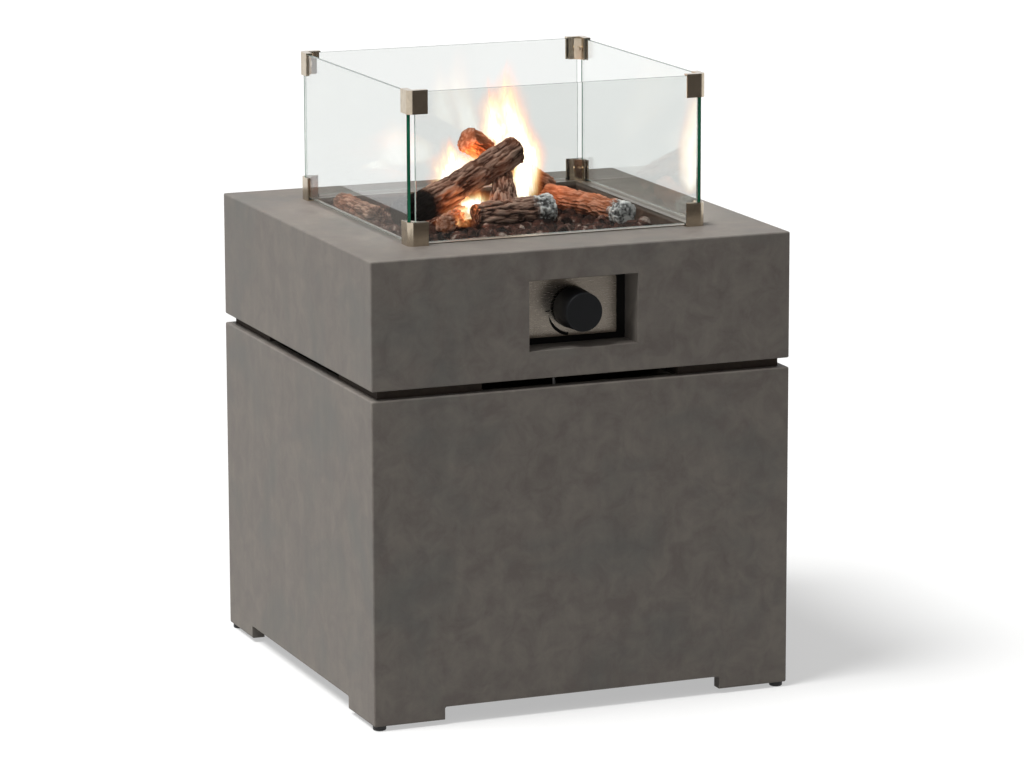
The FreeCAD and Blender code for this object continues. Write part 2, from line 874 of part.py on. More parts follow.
def make_inlet_bracket():
    x, y = inlet_place
    half = inlet_bracket_width / 2
    shelf_z = (inlet_bracket_level, inlet_bracket_level + sheet)
    shelf = block((x - half, x + half), (-inner_y, y + half), shelf_z)
    wall_z = (inlet_bracket_level, inlet_bracket_level + inlet_bracket_rise)
    wall = block((x - half, x + half), (-inner_y, -inner_y + sheet), wall_z)
    tools = [
        rod(inlet_neck_radius + screw_clearance, (x, y, shelf_z[0] - past), (x, y, shelf_z[1] + past)),
        rod(
            screw_radius + screw_clearance,
            (x, -inner_y - past, inlet_screw_level),
            (x, -inner_y + sheet + past, inlet_screw_level),
        ),
    ]
    return cut(joined(shelf, wall), tools)


def make_inlet_connector():
    x, y = inlet_place
    low = inlet_bracket_level - inlet_flange - inlet_thread_length
    thread = rod(inlet_thread_radius, (x, y, low), (x, y, inlet_bracket_level - inlet_flange))
    nut = hexagon(inlet_flats, (x, y, inlet_bracket_level), inlet_flange, "-z")
    top = inlet_bracket_level + sheet + inlet_neck_length
    neck = rod(inlet_neck_radius, (x, y, inlet_bracket_level), (x, y, top))
    bore = rod(pipe_bore_radius, (x, y, low - past), (x, y, top + past))
    socket = rod(pipe_radius, (x, y, top - pipe_socket / 2), (x, y, top + past))
    return cut(joined(thread, nut, neck), [bore, socket])


# Burner tray and what hangs under it

clip_level = box_top - top_slab
shield_half = tray_outer - shield_margin
standoff_place = tray_outer - standoff_inset
probe_y = -burner_side / 2 + probe_offset
hatch_radius = mixer_radius + hatch_clearance


def make_burner_tray():
    flange_half = tray_inner / 2 + tray_flange_width
    body = block((-tray_outer, tray_outer), (-tray_outer, tray_outer), (tray_floor, box_top + tray_wall))
    rim = block((-flange_half, flange_half), (-flange_half, flange_half), (box_top, box_top + tray_wall))
    half = tray_inner / 2
    hollow = block((-half, half), (-half, half), (tray_inside, box_top + tray_wall + past))
    tools = [hollow, rod(hatch_radius, (0, 0, tray_floor - past), (0, 0, tray_inside + past))]
    for side in (-1, 1):
        x = side * probe_side
        tools.append(rod(ceramic_radius, (x, probe_y, tray_floor - past), (x, probe_y, tray_inside + past)))
    for place in standoff_points():
        tools.append(rod(screw_radius, (*place, tray_floor - past), (*place, tray_inside + past)))
    return cut(joined(body, rim), tools)


def standoff_points():
    return [(sx * standoff_place, sy * standoff_place) for sx, sy in corners]


def make_tray_clips():
    """Bent clips that screw to the tray's wall and hook under the slab's edge."""
    clips = []
    half = tray_clip_width / 2
    wall_x = (tray_outer, tray_outer + sheet)
    for centre in (-tray_clip_offset, tray_clip_offset):
        y_range = (centre - half, centre + half)
        upright = block(wall_x, y_range, (clip_level - tray_clip_drop, clip_level))
        lip = block((tray_outer, tray_outer + tray_clip_reach), y_range, (clip_level - sheet, clip_level))
        clip = joined(upright, lip)
        clips += [clip, clip.mirror(Vector(0, 0, 0), Vector(1, 0, 0))]
    return group(clips)


def make_heat_shield():
    z_range = (shield_top - shield_sheet, shield_top)
    plate = block((-shield_half, shield_half), (-shield_half, shield_half), z_range)
    low = z_range[0] - past
    high = z_range[1] + past
    window = ceramic_radius + probe_side + probe_window_margin
    tools = [
        rod(hatch_radius, (0, 0, low), (0, 0, high)),
        block((-window, window), (probe_y - window / 2, probe_y + window / 2), (low, high)),
    ]
    for place in standoff_points():
        tools.append(rod(screw_radius, (*place, low), (*place, high)))
    return cut(plate, tools)


def make_shield_standoffs():
    posts = []
    for place in standoff_points():
        post = rod(standoff_radius, (*place, shield_top), (*place, tray_floor))
        bore = rod(screw_radius, (*place, shield_top - past), (*place, tray_floor + past))
        posts.append(cut(post, [bore]))
    return group(posts)


def make_shield_screws():
    screws = []
    for x, y in standoff_points():
        seat = Vector(x, y, shield_top - shield_sheet)
        length = shield_sheet + shield_gap + tray_wall
        sizes = (length, screw_radius, screw_head_radius, screw_head_height)
        screws.append(headed_screw(seat, Vector(0, 0, 1), *sizes))
    return group(screws)


def ring_path(half, corner):
    """A square loop with round corners, drawn as runs and quarter arcs."""
    reach = corner * (1 - math.sqrt(0.5))
    edges = []
    turns = [(1, 1), (-1, 1), (-1, -1), (1, -1)]
    ends = []
    for sx, sy in turns:
        first = Vector(sx * half, sy * (half - corner), burner_level)
        second = Vector(sx * (half - corner), sy * half, burner_level)
        enter, leave = (first, second) if sx * sy > 0 else (second, first)
        middle = Vector(sx * (half - reach), sy * (half - reach), burner_level)
        ends.append((enter, middle, leave))
    for index, (enter, middle, leave) in enumerate(ends):
        following = ends[(index + 1) % 4][0]
        edges.append(Part.Arc(enter, middle, leave).toShape())
        edges.append(Part.LineSegment(leave, following).toShape())
    return Part.Wire(edges)


def ring_tube(radius):
    half = burner_side / 2
    path = ring_path(half, burner_corner)
    start = path.Vertexes[0].Point
    profile = Part.Wire(Part.makeCircle(radius, start, Vector(0, 1, 0)))
    loop = single(path.makePipeShell([profile], True, False))
    bar = rod(radius, (-half, 0, burner_level), (half, 0, burner_level))
    return loop, bar


def make_burner_ring():
    hub_z = (burner_level - burner_tube_radius, burner_level + burner_tube_radius)
    hub = rod(burner_hub_radius, (0, 0, hub_z[0]), (0, 0, hub_z[1]))
    outside = joined(*ring_tube(burner_tube_radius), hub, *burner_saddles())
    bore = burner_tube_radius - burner_tube_wall
    tools = list(ring_tube(bore))
    tools.append(rod(mixer_radius - mixer_wall, (0, 0, hub_z[0] - past), (0, 0, burner_level)))
    straight = burner_side / 2 - burner_corner
    count = int(2 * straight / burner_port_pitch) + 1
    top = burner_level + burner_tube_radius + past
    for index in range(count):
        along = (index - (count - 1) / 2) * burner_port_pitch
        for side in (-burner_side / 2, burner_side / 2):
            tools.append(rod(burner_port_radius, (along, side, burner_level), (along, side, top)))
            tools.append(rod(burner_port_radius, (side, along, burner_level), (side, along, top)))
        if abs(along) > burner_hub_radius:
            tools.append(rod(burner_port_radius, (along, 0, burner_level), (along, 0, top)))
    return cut(outside, tools)


def burner_saddles():
    """Seats welded under the ring's front and rear runs."""
    saddles = []
    x = burner_side / 2 - burner_corner - saddle_width
    for side_x in (-1, 1):
        seat = block(
            (side_x * x - saddle_width / 2, side_x * x + saddle_width / 2),
            (burner_side / 2 - saddle_length / 2, burner_side / 2 + saddle_length / 2),
            (tray_inside, burner_level - burner_tube_radius / 2),
        )
        saddles += [seat, seat.mirror(Vector(0, 0, 0), Vector(0, 1, 0))]
    return saddles


def air_ports(outer):
    level = mixer_bottom + air_port_lift
    return [
        rod(air_port_radius, (-outer, 0, level), (outer, 0, level)),
        rod(air_port_radius, (0, -outer, level), (0, outer, level)),
    ]


def make_mixer_tube():
    tube = rod(mixer_radius, (0, 0, mixer_bottom), (0, 0, mixer_top))
    bore = rod(mixer_radius - mixer_wall, (0, 0, mixer_bottom - past), (0, 0, mixer_top + past))
    return cut(tube, [bore] + air_ports(2 * mixer_radius))


def make_air_shutter():
    low = mixer_bottom + air_port_lift - shutter_height / 2
    inner = mixer_radius + running_clearance
    sleeve = rod(inner + shutter_wall, (0, 0, low), (0, 0, low + shutter_height))
    bore = rod(inner, (0, 0, low - past), (0, 0, low + shutter_height + past))
    return cut(sleeve, [bore] + air_ports(2 * mixer_radius))


def make_injector():
    low = mixer_bottom - injector_height
    body = hexagon(injector_flats, (0, 0, low), injector_height)
    seat = rod(mixer_radius, (0, 0, mixer_bottom - injector_seat), (0, 0, mixer_bottom))
    tip = cone(nozzle_radius, nozzle_radius / 2, (0, 0, mixer_bottom), (0, 0, mixer_bottom + nozzle_height))
    tools = [
        rod(pipe_radius, (0, 0, low - past), (0, 0, low + pipe_socket / 2)),
        rod(nozzle_bore_radius, (0, 0, low), (0, 0, mixer_bottom + nozzle_height + past)),
    ]
    return cut(joined(body, seat, tip), tools)


def make_lava_grate():
    half = tray_inner / 2 - grate_clearance
    outside = block((-half, half), (-half, half), (tray_inside, grate_top))
    inside = half - grate_sheet
    tools = [block((-inside, inside), (-inside, inside), (tray_inside - past, grate_top - grate_sheet))]
    for row in range(grate_hole_count):
        for column in range(grate_hole_count):
            x = (column - (grate_hole_count - 1) / 2) * grate_hole_pitch
            y = (row - (grate_hole_count - 1) / 2) * grate_hole_pitch
            low = grate_top - 2 * grate_sheet
            tools.append(rod(grate_hole_radius, (x, y, low), (x, y, grate_top + past)))
    return cut(outside, tools)


def make_igniter_bracket():
    half = probe_plate_length / 2
    middle = probe_y + probe_plate_shift
    y_range = (middle - probe_plate_width / 2, middle + probe_plate_width / 2)
    plate = block((-half, half), y_range, (tray_inside, tray_inside + tray_wall))
    holes = []
    top = tray_inside + tray_wall
    for x in (-probe_side, probe_side):
        holes.append(rod(ceramic_radius, (x, probe_y, tray_inside - past), (x, probe_y, top + past)))
    return cut(plate, holes)


probe_low = tray_floor - probe_drop
probe_tip = tray_inside + probe_rise
lead_level = shield_top - lead_drop


def make_spark_electrode():
    x = -probe_side
    ceramic = rod(ceramic_radius, (x, probe_y, probe_low), (x, probe_y, tray_inside + probe_rise / 2))
    pin = rod(probe_radius, (x, probe_y, tray_inside), (x, probe_y, probe_tip))
    return joined(ceramic, pin)


def make_electrode_lead():
    terminal = window_level - valve_radius - igniter_height / 2
    rear = valve_back - igniter_margin
    end_x = -igniter_width / 4
    points = [
        (-probe_side, probe_y, probe_low),
        (-probe_side, probe_y, lead_level),
        (-lead_side, (probe_y + rear) / 2, lead_level),
        (-lead_side, rear + lead_end_run + lead_bend, lead_level),
        (end_x, rear + lead_end_run, terminal),
        (end_x, rear, terminal),
    ]
    return bent_rod(points, lead_radius, lead_bend)


def make_thermocouple():
    x = probe_side
    tip = rod(ceramic_radius, (x, probe_y, probe_low), (x, probe_y, tray_inside + probe_rise / 2))
    end = valve_back + magnet_unit_length
    points = [
        (x, probe_y, probe_tip),
        (x, probe_y, lead_level),
        (lead_side, (probe_y + end) / 2, lead_level),
        (lead_side, end + lead_end_run + lead_slack, lead_level),
        (0, end + lead_end_run, window_level),
        (0, end, window_level),
    ]
    return joined(bent_rod(points, lead_radius, lead_bend), tip)


# Logs. Places and radii are shares of half the tray's width, heights are above the bed. Each
# log has its two end points, its radius at each end and its sideways bow.

log_table = {
    "log_leaning_front": ((-0.718, 0.010, 0.108), (0.256, 0.390, 0.456), 0.103, 0.092, 0.026),
    "log_leaning_rear": ((0.700, 0.810, 0.112), (-0.026, 0.564, 0.528), 0.067, 0.087, -0.021),
    "log_forked": ((-0.205, -0.087, 0.088), (0.369, 0.010, 0.088), 0.082, 0.082, 0.015),
    "log_right": ((0.620, 0.570, 0.077), (0.831, -0.400, 0.077), 0.067, 0.072, -0.021),
    "log_front_left": ((-0.513, -0.256, 0.072), (-0.051, 0.503, 0.072), 0.067, 0.062, 0.021),
    "log_left_side": ((-0.831, 0.913, 0.077), (-0.821, 0.246, 0.077), 0.067, 0.072, 0.015),
}
fork_tip = (0.185, 0.287, 0.251)
fork_root_share = 0.5
fork_root_radius = 0.072
fork_tip_radius = 0.051
log_sections = 5
log_lump = 0.05
log_lump_rate = 7.0


def log_point(place):
    unit = tray_inner / 2
    return Vector(place[0] * unit, place[1] * unit, bed_top + place[2] * unit)


def make_log(name):
    unit = tray_inner / 2
    start, end, start_radius, end_radius, bow = log_table[name]
    start = log_point(start)
    end = log_point(end)
    along = (end - start).normalize()
    side = along.cross(Vector(0, 0, 1)).normalize()
    sections = []
    for index in range(log_sections):
        t = index / (log_sections - 1)
        centre = start + (end - start) * t + side * bow * unit * math.sin(math.pi * t)
        radius = (start_radius + (end_radius - start_radius) * t) * unit
        lump = 1 + log_lump * math.cos(log_lump_rate * t + start.x)
        sections.append(Part.Wire(Part.makeCircle(radius * lump, centre, along)))
    return single(Part.makeLoft(sections, True, False))


def make_forked_log():
    unit = tray_inner / 2
    start, end = [log_point(place) for place in log_table["log_forked"][:2]]
    root = start + (end - start) * fork_root_share
    tip = log_point(fork_tip)
    branch = cone(fork_root_radius * unit, fork_tip_radius * unit, tuple(root), tuple(tip))
    return joined(make_log("log_forked"), branch)


# Lava stones: a bed of small stones, and larger ones that show on top of it

def make_lava_bed():
    half = tray_inner / 2 - bed_margin
    return block((-half, half), (-half, half), (grate_top, bed_top))


def wobble(seed):
    """A repeatable value from 0 to 1."""
    value = math.sin(seed * 12.9898 + 4.1414) * 43758.5453
    return value - math.floor(value)


def distance_to_logs(point):
    unit = tray_inner / 2
    nearest = body_width
    for start_place, end_place, start_radius, end_radius, bow in log_table.values():
        start = log_point(start_place)
        run = log_point(end_place) - start
        t = max(0.0, min(1.0, (point - start).dot(run) / run.dot(run)))
        reach = (max(start_radius, end_radius) * (1 + log_lump) + abs(bow)) * unit
        nearest = min(nearest, (start + run * t - point).Length - reach)
    return nearest


def make_stone(x, y, seed):
    """A stone with a flat foot: two rings of corners, the upper one smaller and turned."""
    width = stone_size * (0.7 + 0.5 * wobble(seed))
    height = stone_size * (0.45 + 0.35 * wobble(seed + 0.3))
    turn = 2 * math.pi * wobble(seed + 0.6)
    sections = []
    for level, scale in ((0, 0.42), (0.45, 0.5), (1, 0.27)):
        ring = []
        for corner in range(6):
            angle = turn + corner * math.pi / 3
            reach = width * scale * (0.85 + 0.3 * wobble(seed + corner))
            z = bed_top + level * height
            ring.append(Vector(x + reach * math.cos(angle), y + reach * math.sin(angle), z))
        sections.append(Part.makePolygon(ring + ring[:1]))
    return single(Part.makeLoft(sections, True, True))


def make_lava_rocks():
    half = tray_inner / 2 - stone_row_inset
    count = int(2 * half / stone_pitch) + 1
    stones = []
    for row in range(count):
        for column in range(count):
            seed = row * count + column + 1
            x = (column - (count - 1) / 2) * stone_pitch + stone_jitter * (wobble(seed + 0.11) - 0.5)
            y = (row - (count - 1) / 2) * stone_pitch + stone_jitter * (wobble(seed + 0.77) - 0.5)
            clear = distance_to_logs(Vector(x, y, bed_top + stone_size / 2)) - stone_size / 2
            if clear > stone_log_gap:
                stones.append(make_stone(x, y, seed))
    return group(stones)


# Glass screen

glass_bottom = box_top + glass_lift
glass_top = glass_bottom + glass_height
screen_top = glass_top + clamp_top_gap + clamp_sheet
glass_outer = screen_half - clamp_sheet - glass_play
glass_end = glass_outer - glass_corner_gap


def make_glass(axis, side):
    near, far = sorted((side * glass_outer, side * (glass_outer - glass_thickness)))
    span = (-glass_end, glass_end)
    z_range = (glass_bottom, glass_top)
    pane = block(span, (near, far), z_range) if axis == "y" else block((near, far), span, z_range)
    upright = [e for e in pane.Edges if e.BoundBox.ZLength > glass_height / 2]
    return pane.makeChamfer(glass_chamfer, upright)


def corner_outline(points):
    """Distances in from the outer corner, turned into the corner's place."""
    return [(screen_half - u, screen_half - v) for u, v in points]


def make_clamp_angle(z_range, cap_range, screw_level):
    outside = block((screen_half - clamp_leg, screen_half), (screen_half - clamp_leg, screen_half), z_range)
    outer_edge = [
        e for e in outside.Edges
        if e.BoundBox.ZLength > clamp_height / 2 and e.BoundBox.XMin > screen_half - 0.01
        and e.BoundBox.YMin > screen_half - 0.01
    ]
    outside = outside.makeFillet(clamp_round, outer_edge)
    inner_reach = clamp_leg + past
    inner_face = screen_half - clamp_sheet
    hollow = block((screen_half - inner_reach, inner_face), (screen_half - inner_reach, inner_face), z_range)
    edge = [
        e for e in hollow.Edges
        if e.BoundBox.ZLength > clamp_height / 2 and e.BoundBox.XMin > inner_face - 0.01
        and e.BoundBox.YMin > inner_face - 0.01
    ]
    hollow = hollow.makeFillet(clamp_round - clamp_sheet, edge)
    legs = cut(outside, [hollow])
    wide = clamp_boss
    thin = clamp_sheet / 2
    post = prism(corner_outline([(wide, wide / 2), (wide, thin), (thin, wide), (wide / 2, wide)]), z_range)
    post = single(post.common(outside))
    reach = clamp_sheet + glass_thickness + clamp_inner_sheet + glass_play * 2
    outline = [(0, 0), (clamp_leg, 0), (clamp_leg, reach), (reach, reach), (reach, clamp_leg), (0, clamp_leg)]
    cap = prism(corner_outline(outline), cap_range)
    cap = single(cap.common(outside))
    angle = joined(legs, post, cap)
    start = screen_half - clamp_boss - past
    tap = rod(clamp_screw_radius, (start, start, screw_level), (clamp_tap_end, clamp_tap_end, screw_level))
    return cut(angle, [tap])


inner_face_offset = clamp_sheet + glass_thickness + 2 * glass_play
web_sum = 2 * (inner_face_offset + clamp_inner_sheet) + clamp_web
clamp_tap_end = screen_half - clamp_round * (1 - math.sqrt(0.5)) - clamp_tap_wall


def make_clamp_inner(z_range, screw_level):
    near = inner_face_offset
    far = near + clamp_inner_sheet
    end = clamp_inner_leg
    web = web_sum - far
    outline = [(near, near), (end, near), (end, far), (web, far), (far, web), (far, end), (near, end)]
    plate = prism(corner_outline(outline), z_range)
    outer = screen_half - near + past
    inner = screen_half - web_sum / 2 - past
    hole_radius = clamp_screw_radius + screw_clearance
    return cut(plate, [rod(hole_radius, (outer, outer, screw_level), (inner, inner, screw_level))])


def make_clamp_screw(screw_level):
    seat = screen_half - web_sum / 2
    out = Vector(1, 1, 0).normalize()
    length = (clamp_tap_end - seat) * math.sqrt(2)
    place = Vector(seat, seat, screw_level)
    sizes = (length, clamp_screw_radius, clamp_screw_head_radius, clamp_screw_head_height)
    return headed_screw(place, out, *sizes)


def make_clamp_pad(z_range):
    near = clamp_sheet + glass_play
    far = near + glass_thickness
    start = clamp_sheet + glass_play + glass_corner_gap
    end = clamp_leg
    along_x = block(
        (screen_half - end, screen_half - start), (screen_half - far, screen_half - near), z_range
    )
    along_y = block(
        (screen_half - far, screen_half - near), (screen_half - end, screen_half - start), z_range
    )
    return [along_x, along_y]


def clamp_levels():
    """Height ranges of the lower and the upper clamp: body, cap, inner plate and pad."""
    low = box_top
    lower = (low, low + clamp_height), (low, low + clamp_sheet)
    lower += (low + clamp_sheet, low + clamp_height), (low + clamp_sheet, glass_bottom)
    high = screen_top
    upper = (high - clamp_height, high), (high - clamp_sheet, high)
    upper += (high - clamp_height, high - clamp_sheet), (glass_top, high - clamp_sheet)
    return lower, upper


def main():
    nodes = {
        "pedestal_shell": make_pedestal_shell(),
        "foot_screws": make_foot_screws(),
        "base_plate": make_base_plate(),
        "wall_screws": make_wall_screws(),
        "rear_door": make_rear_door(),
        "door_pivot_pins": make_pivot_pins(),
        "door_pivot_bushes": make_pivot_bushes(),
        "door_pull": make_door_pull(),
        "catch_magnet": make_catch_magnet(),
        "catch_strike": make_catch_strike(),
        "box_bolts": make_box_bolts(),
        "box_inserts": make_box_inserts(),
        "burner_box": make_burner_box(),
        "control_panel": make_control_panel(),
        "control_fascia": make_control_fascia(),
        "panel_screws": make_panel_screws(),
        "knob": make_knob(),
        "valve_spindle": make_valve_spindle(),
        "thrust_washer": make_thrust_washer(),
        "return_spring": make_return_spring(),
        "valve_plug": make_valve_plug(),
        "gas_valve": make_gas_valve(),
        "magnet_unit": make_magnet_unit(),
        "spark_igniter": make_spark_igniter(),
        "gas_pipe": make_gas_pipe(),
        "inlet_pipe": make_inlet_pipe(),
        "inlet_bracket": make_inlet_bracket(),
        "inlet_connector": make_inlet_connector(),
        "burner_tray": make_burner_tray(),
        "tray_clips": make_tray_clips(),
        "heat_shield": make_heat_shield(),
        "shield_standoffs": make_shield_standoffs(),
        "shield_screws": make_shield_screws(),
        "burner_ring": make_burner_ring(),
        "mixer_tube": make_mixer_tube(),
        "air_shutter": make_air_shutter(),
        "injector": make_injector(),
        "lava_grate": make_lava_grate(),
        "igniter_bracket": make_igniter_bracket(),
        "spark_electrode": make_spark_electrode(),
        "electrode_lead": make_electrode_lead(),
        "thermocouple": make_thermocouple(),
        "log_forked": make_forked_log(),
        "lava_bed": make_lava_bed(),
        "lava_rocks": make_lava_rocks(),
    }
    for name in log_table:
        if name != "log_forked":
            nodes[name] = make_log(name)
    nodes["feet"] = group([make_foot(sx, sy) for sx, sy in corners])
    nodes["corner_spacers"] = group(make_corner_spacers())
    for name, axis, side in (("front", "y", -1), ("rear", "y", 1), ("left", "x", -1), ("right", "x", 1)):
        nodes["glass_" + name] = make_glass(axis, side)
    angles = []
    inner_plates = []
    screws = []
    pads = []
    for body, cap, inner, pad in clamp_levels():
        screw_level = (inner[0] + inner[1]) / 2
        angles += at_corners(make_clamp_angle(body, cap, screw_level))
        inner_plates += at_corners(make_clamp_inner(inner, screw_level))
        screws += at_corners(make_clamp_screw(screw_level))
        for piece in make_clamp_pad(pad):
            pads += at_corners(piece)
    nodes["clamp_angles"] = group(angles)
    nodes["clamp_inner_plates"] = group(inner_plates)
    nodes["clamp_screws"] = group(screws)
    nodes["clamp_pads"] = group(pads)
    for name, shape in nodes.items():
        solids = shape.Solids
        volume = sum(s.Volume for s in solids)
        print(name, len(solids), round(volume), shape.isValid())
        shape.exportStep("parts/" + name + ".step")
    print(len(nodes), "nodes")


main()
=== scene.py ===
import bpy
import math
import numpy as np
from mathutils import Matrix, Vector


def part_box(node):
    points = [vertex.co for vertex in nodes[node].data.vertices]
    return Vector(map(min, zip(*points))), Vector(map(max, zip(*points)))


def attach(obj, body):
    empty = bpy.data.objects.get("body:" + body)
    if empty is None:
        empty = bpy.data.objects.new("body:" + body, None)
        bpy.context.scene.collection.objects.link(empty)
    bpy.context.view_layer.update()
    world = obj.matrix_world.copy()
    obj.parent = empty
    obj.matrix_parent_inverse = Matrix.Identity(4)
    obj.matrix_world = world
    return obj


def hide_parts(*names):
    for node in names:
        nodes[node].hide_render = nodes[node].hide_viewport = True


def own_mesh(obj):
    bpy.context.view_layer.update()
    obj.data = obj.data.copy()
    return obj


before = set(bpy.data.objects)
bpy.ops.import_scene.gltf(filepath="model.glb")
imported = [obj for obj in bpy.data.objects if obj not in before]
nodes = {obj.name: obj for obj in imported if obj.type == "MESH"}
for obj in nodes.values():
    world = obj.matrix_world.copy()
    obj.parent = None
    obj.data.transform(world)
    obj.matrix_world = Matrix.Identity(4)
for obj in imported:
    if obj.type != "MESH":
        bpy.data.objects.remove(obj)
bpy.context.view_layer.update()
scene = bpy.context.scene
mm = 0.001
print("frame loaded:", len(nodes), "nodes")


# colour and node helpers

def hexColour(code):
    # sRGB hex to linear: each channel c is c/12.92 up to 0.04045 and ((c+0.055)/1.055)^2.4 above
    channels = [int(code[i:i + 2], 16) / 255 for i in (1, 3, 5)]
    linear = [c / 12.92 if c <= 0.04045 else ((c + 0.055) / 1.055) ** 2.4 for c in channels]
    return (*linear, 1.0)


def feed(tree, socket, value):
    # a socket takes a link from another node, a hex colour or a plain value
    if isinstance(value, bpy.types.NodeSocket):
        tree.links.new(value, socket)
    else:
        socket.default_value = hexColour(value) if isinstance(value, str) else value


def addNode(tree, kind, settings=None, inputs=None):
    # one node with its settings and with what feeds its sockets
    node = tree.nodes.new("ShaderNode" + kind)
    for name, value in (settings or {}).items():
        setattr(node, name, value)
    for key, value in (inputs or {}).items():
        feed(tree, node.inputs[key], value)
    return node


def newMaterial(name):
    material = bpy.data.materials.new(name)
    material.use_nodes = True
    tree = material.node_tree
    tree.nodes.clear()
    output = addNode(tree, "OutputMaterial")
    return material, tree, output.inputs["Surface"]


def objectPlace(tree, stretch=(1, 1, 1), turn=(0, 0, 0)):
    # object coordinates in metres, stretched for grain that runs one way
    place = addNode(tree, "TexCoord").outputs["Object"]
    inputs = {"Vector": place, "Scale": stretch, "Rotation": turn}
    return addNode(tree, "Mapping", inputs=inputs).outputs["Vector"]


def noiseOf(tree, place, sizeMm, detail, roughness, distortion=0.0):
    # noise whose main blotches are about sizeMm across
    inputs = {"Vector": place, "Scale": 1 / (sizeMm * mm)}
    inputs |= {"Detail": detail, "Roughness": roughness, "Distortion": distortion}
    return addNode(tree, "TexNoise", inputs=inputs).outputs["Fac"]


def attributeOf(tree, name):
    # a number that the mesh carries at each of its points
    return addNode(tree, "Attribute", {"attribute_name": name}).outputs["Fac"]


def rampOf(tree, factor, stops):
    # colour ramp from (position, colour) pairs; a colour is a hex code or a grey value
    ramp = addNode(tree, "ValToRGB", inputs={"Fac": factor})
    elements = ramp.color_ramp.elements
    while len(elements) < len(stops):
        elements.new(0.5)
    for element, (position, colour) in zip(elements, stops):
        element.position = position
        element.color = hexColour(colour) if isinstance(colour, str) else (colour, colour, colour, 1)
    return ramp.outputs["Color"]


def mixOf(tree, factor, first, second, blend="MIX"):
    # sockets 0, 6 and 7 are a colour mix's factor and its two colours
    settings = {"data_type": "RGBA", "blend_type": blend}
    return addNode(tree, "Mix", settings, {0: factor, 6: first, 7: second}).outputs[2]


def mathOf(tree, operation, first, second=0.5, third=0.0, clamp=False):
    settings = {"operation": operation, "use_clamp": clamp}
    return addNode(tree, "Math", settings, {0: first, 1: second, 2: third}).outputs[0]


def rangeOf(tree, value, source, target):
    # maps the span source onto the span target and clamps there
    inputs = {"Value": value, "From Min": source[0], "From Max": source[1]}
    inputs |= {"To Min": target[0], "To Max": target[1]}
    return addNode(tree, "MapRange", inputs=inputs).outputs[0]


def bumpOf(tree, height, depthMm, strength):
    inputs = {"Height": height, "Distance": depthMm * mm, "Strength": strength}
    return addNode(tree, "Bump", inputs=inputs).outputs["Normal"]


def shaderOf(tree, kind, inputs=None):
    return addNode(tree, kind, inputs=inputs).outputs[0]


def surfaceOf(tree, surface, base, roughness, normal, metallic=0.0, specular=0.5):
    inputs = {"Base Color": base, "Roughness": roughness, "Normal": normal}
    inputs |= {"Metallic": metallic, "Specular IOR Level": specular}
    feed(tree, surface, shaderOf(tree, "BsdfPrincipled", inputs))


def mixShaders(tree, factor, first, second):
    # the first shader where the factor is 0 and the second where it is 1
    return shaderOf(tree, "MixShader", {0: factor, 1: first, 2: second})


# materials: a noise layer is given as size in mm, detail, roughness and distortion, a bump as depth in mm and
# strength, and noise values lie mostly within the two spans

middleSpan = (0.35, 0.65)
wideSpan = (0.3, 0.7)


def fibreConcrete():
    # glass-fibre concrete, cast smooth and waxed: calm warm grey, faint blue-grey clouds, fine dark pores
    look = {
        "tones": [(0.36, "#68615c"), (0.5, "#716b65"), (0.64, "#79736c")],
        "cloudColour": "#60625f", "cloudShare": [(0.5, 0.0), (0.7, 0.5)],
        "streakShade": [(0.36, 0.93), (0.62, 1.0)], "poreShade": [(0.28, 0.82), (0.42, 1.0)],
        "clouds": (150, 5, 0.6, 0.5), "blotches": (34, 8, 0.66, 0.5),
        "streaks": (22, 6, 0.62, 0.2), "streakStretch": (1, 1, 0.2), "streakLean": (0, 0.12, 0),
        "pores": (1.5, 3, 0.7), "poreHeight": 0.3, "blotchHeight": 0.5, "bump": (0.25, 0.4),
        "roughness": (0.54, 0.7), "specular": 0.3,
    }
    material, tree, surface = newMaterial("fibreConcrete")
    place = objectPlace(tree)
    leaning = objectPlace(tree, look["streakStretch"], look["streakLean"])
    clouds = noiseOf(tree, place, *look["clouds"])
    blotches = noiseOf(tree, place, *look["blotches"])
    streaks = noiseOf(tree, leaning, *look["streaks"])
    pores = noiseOf(tree, place, *look["pores"])
    base = rampOf(tree, blotches, look["tones"])
    base = mixOf(tree, rampOf(tree, clouds, look["cloudShare"]), base, look["cloudColour"])
    base = mixOf(tree, 1.0, base, rampOf(tree, streaks, look["streakShade"]), "MULTIPLY")
    base = mixOf(tree, 1.0, base, rampOf(tree, pores, look["poreShade"]), "MULTIPLY")
    gloss = rangeOf(tree, blotches, middleSpan, look["roughness"])
    height = mathOf(tree, "MULTIPLY", blotches, look["blotchHeight"])
    height = mathOf(tree, "MULTIPLY_ADD", pores, look["poreHeight"], height)
    normal = bumpOf(tree, height, *look["bump"])
    surfaceOf(tree, surface, base, gloss, normal, specular=look["specular"])
    return material


def brushedMetal(name, light, dark, roughness, stretch, grainMm, stainMm, stain, relief=0.12):
    # sheet metal rubbed one way: long fine scratches, faint stains and a soft stretched glint
    look = {"stainShade": [(0.35, 0.45), (0.6, 1.0)], "smoother": 0.02, "rougher": 0.04, "scratchMm": 0.01}
    material, tree, surface = newMaterial(name)
    scratches = noiseOf(tree, objectPlace(tree, stretch), grainMm, detail=3, roughness=0.6)
    stains = noiseOf(tree, objectPlace(tree), stainMm, detail=5, roughness=0.65, distortion=0.5)
    base = rampOf(tree, scratches, [(0.25, dark), (0.75, light)])
    base = mixOf(tree, stain, base, rampOf(tree, stains, look["stainShade"]), "MULTIPLY")
    span = (roughness - look["smoother"], roughness + look["rougher"])
    normal = bumpOf(tree, scratches, look["scratchMm"], relief)
    surfaceOf(tree, surface, base, rangeOf(tree, scratches, wideSpan, span), normal, metallic=1.0)
    return material


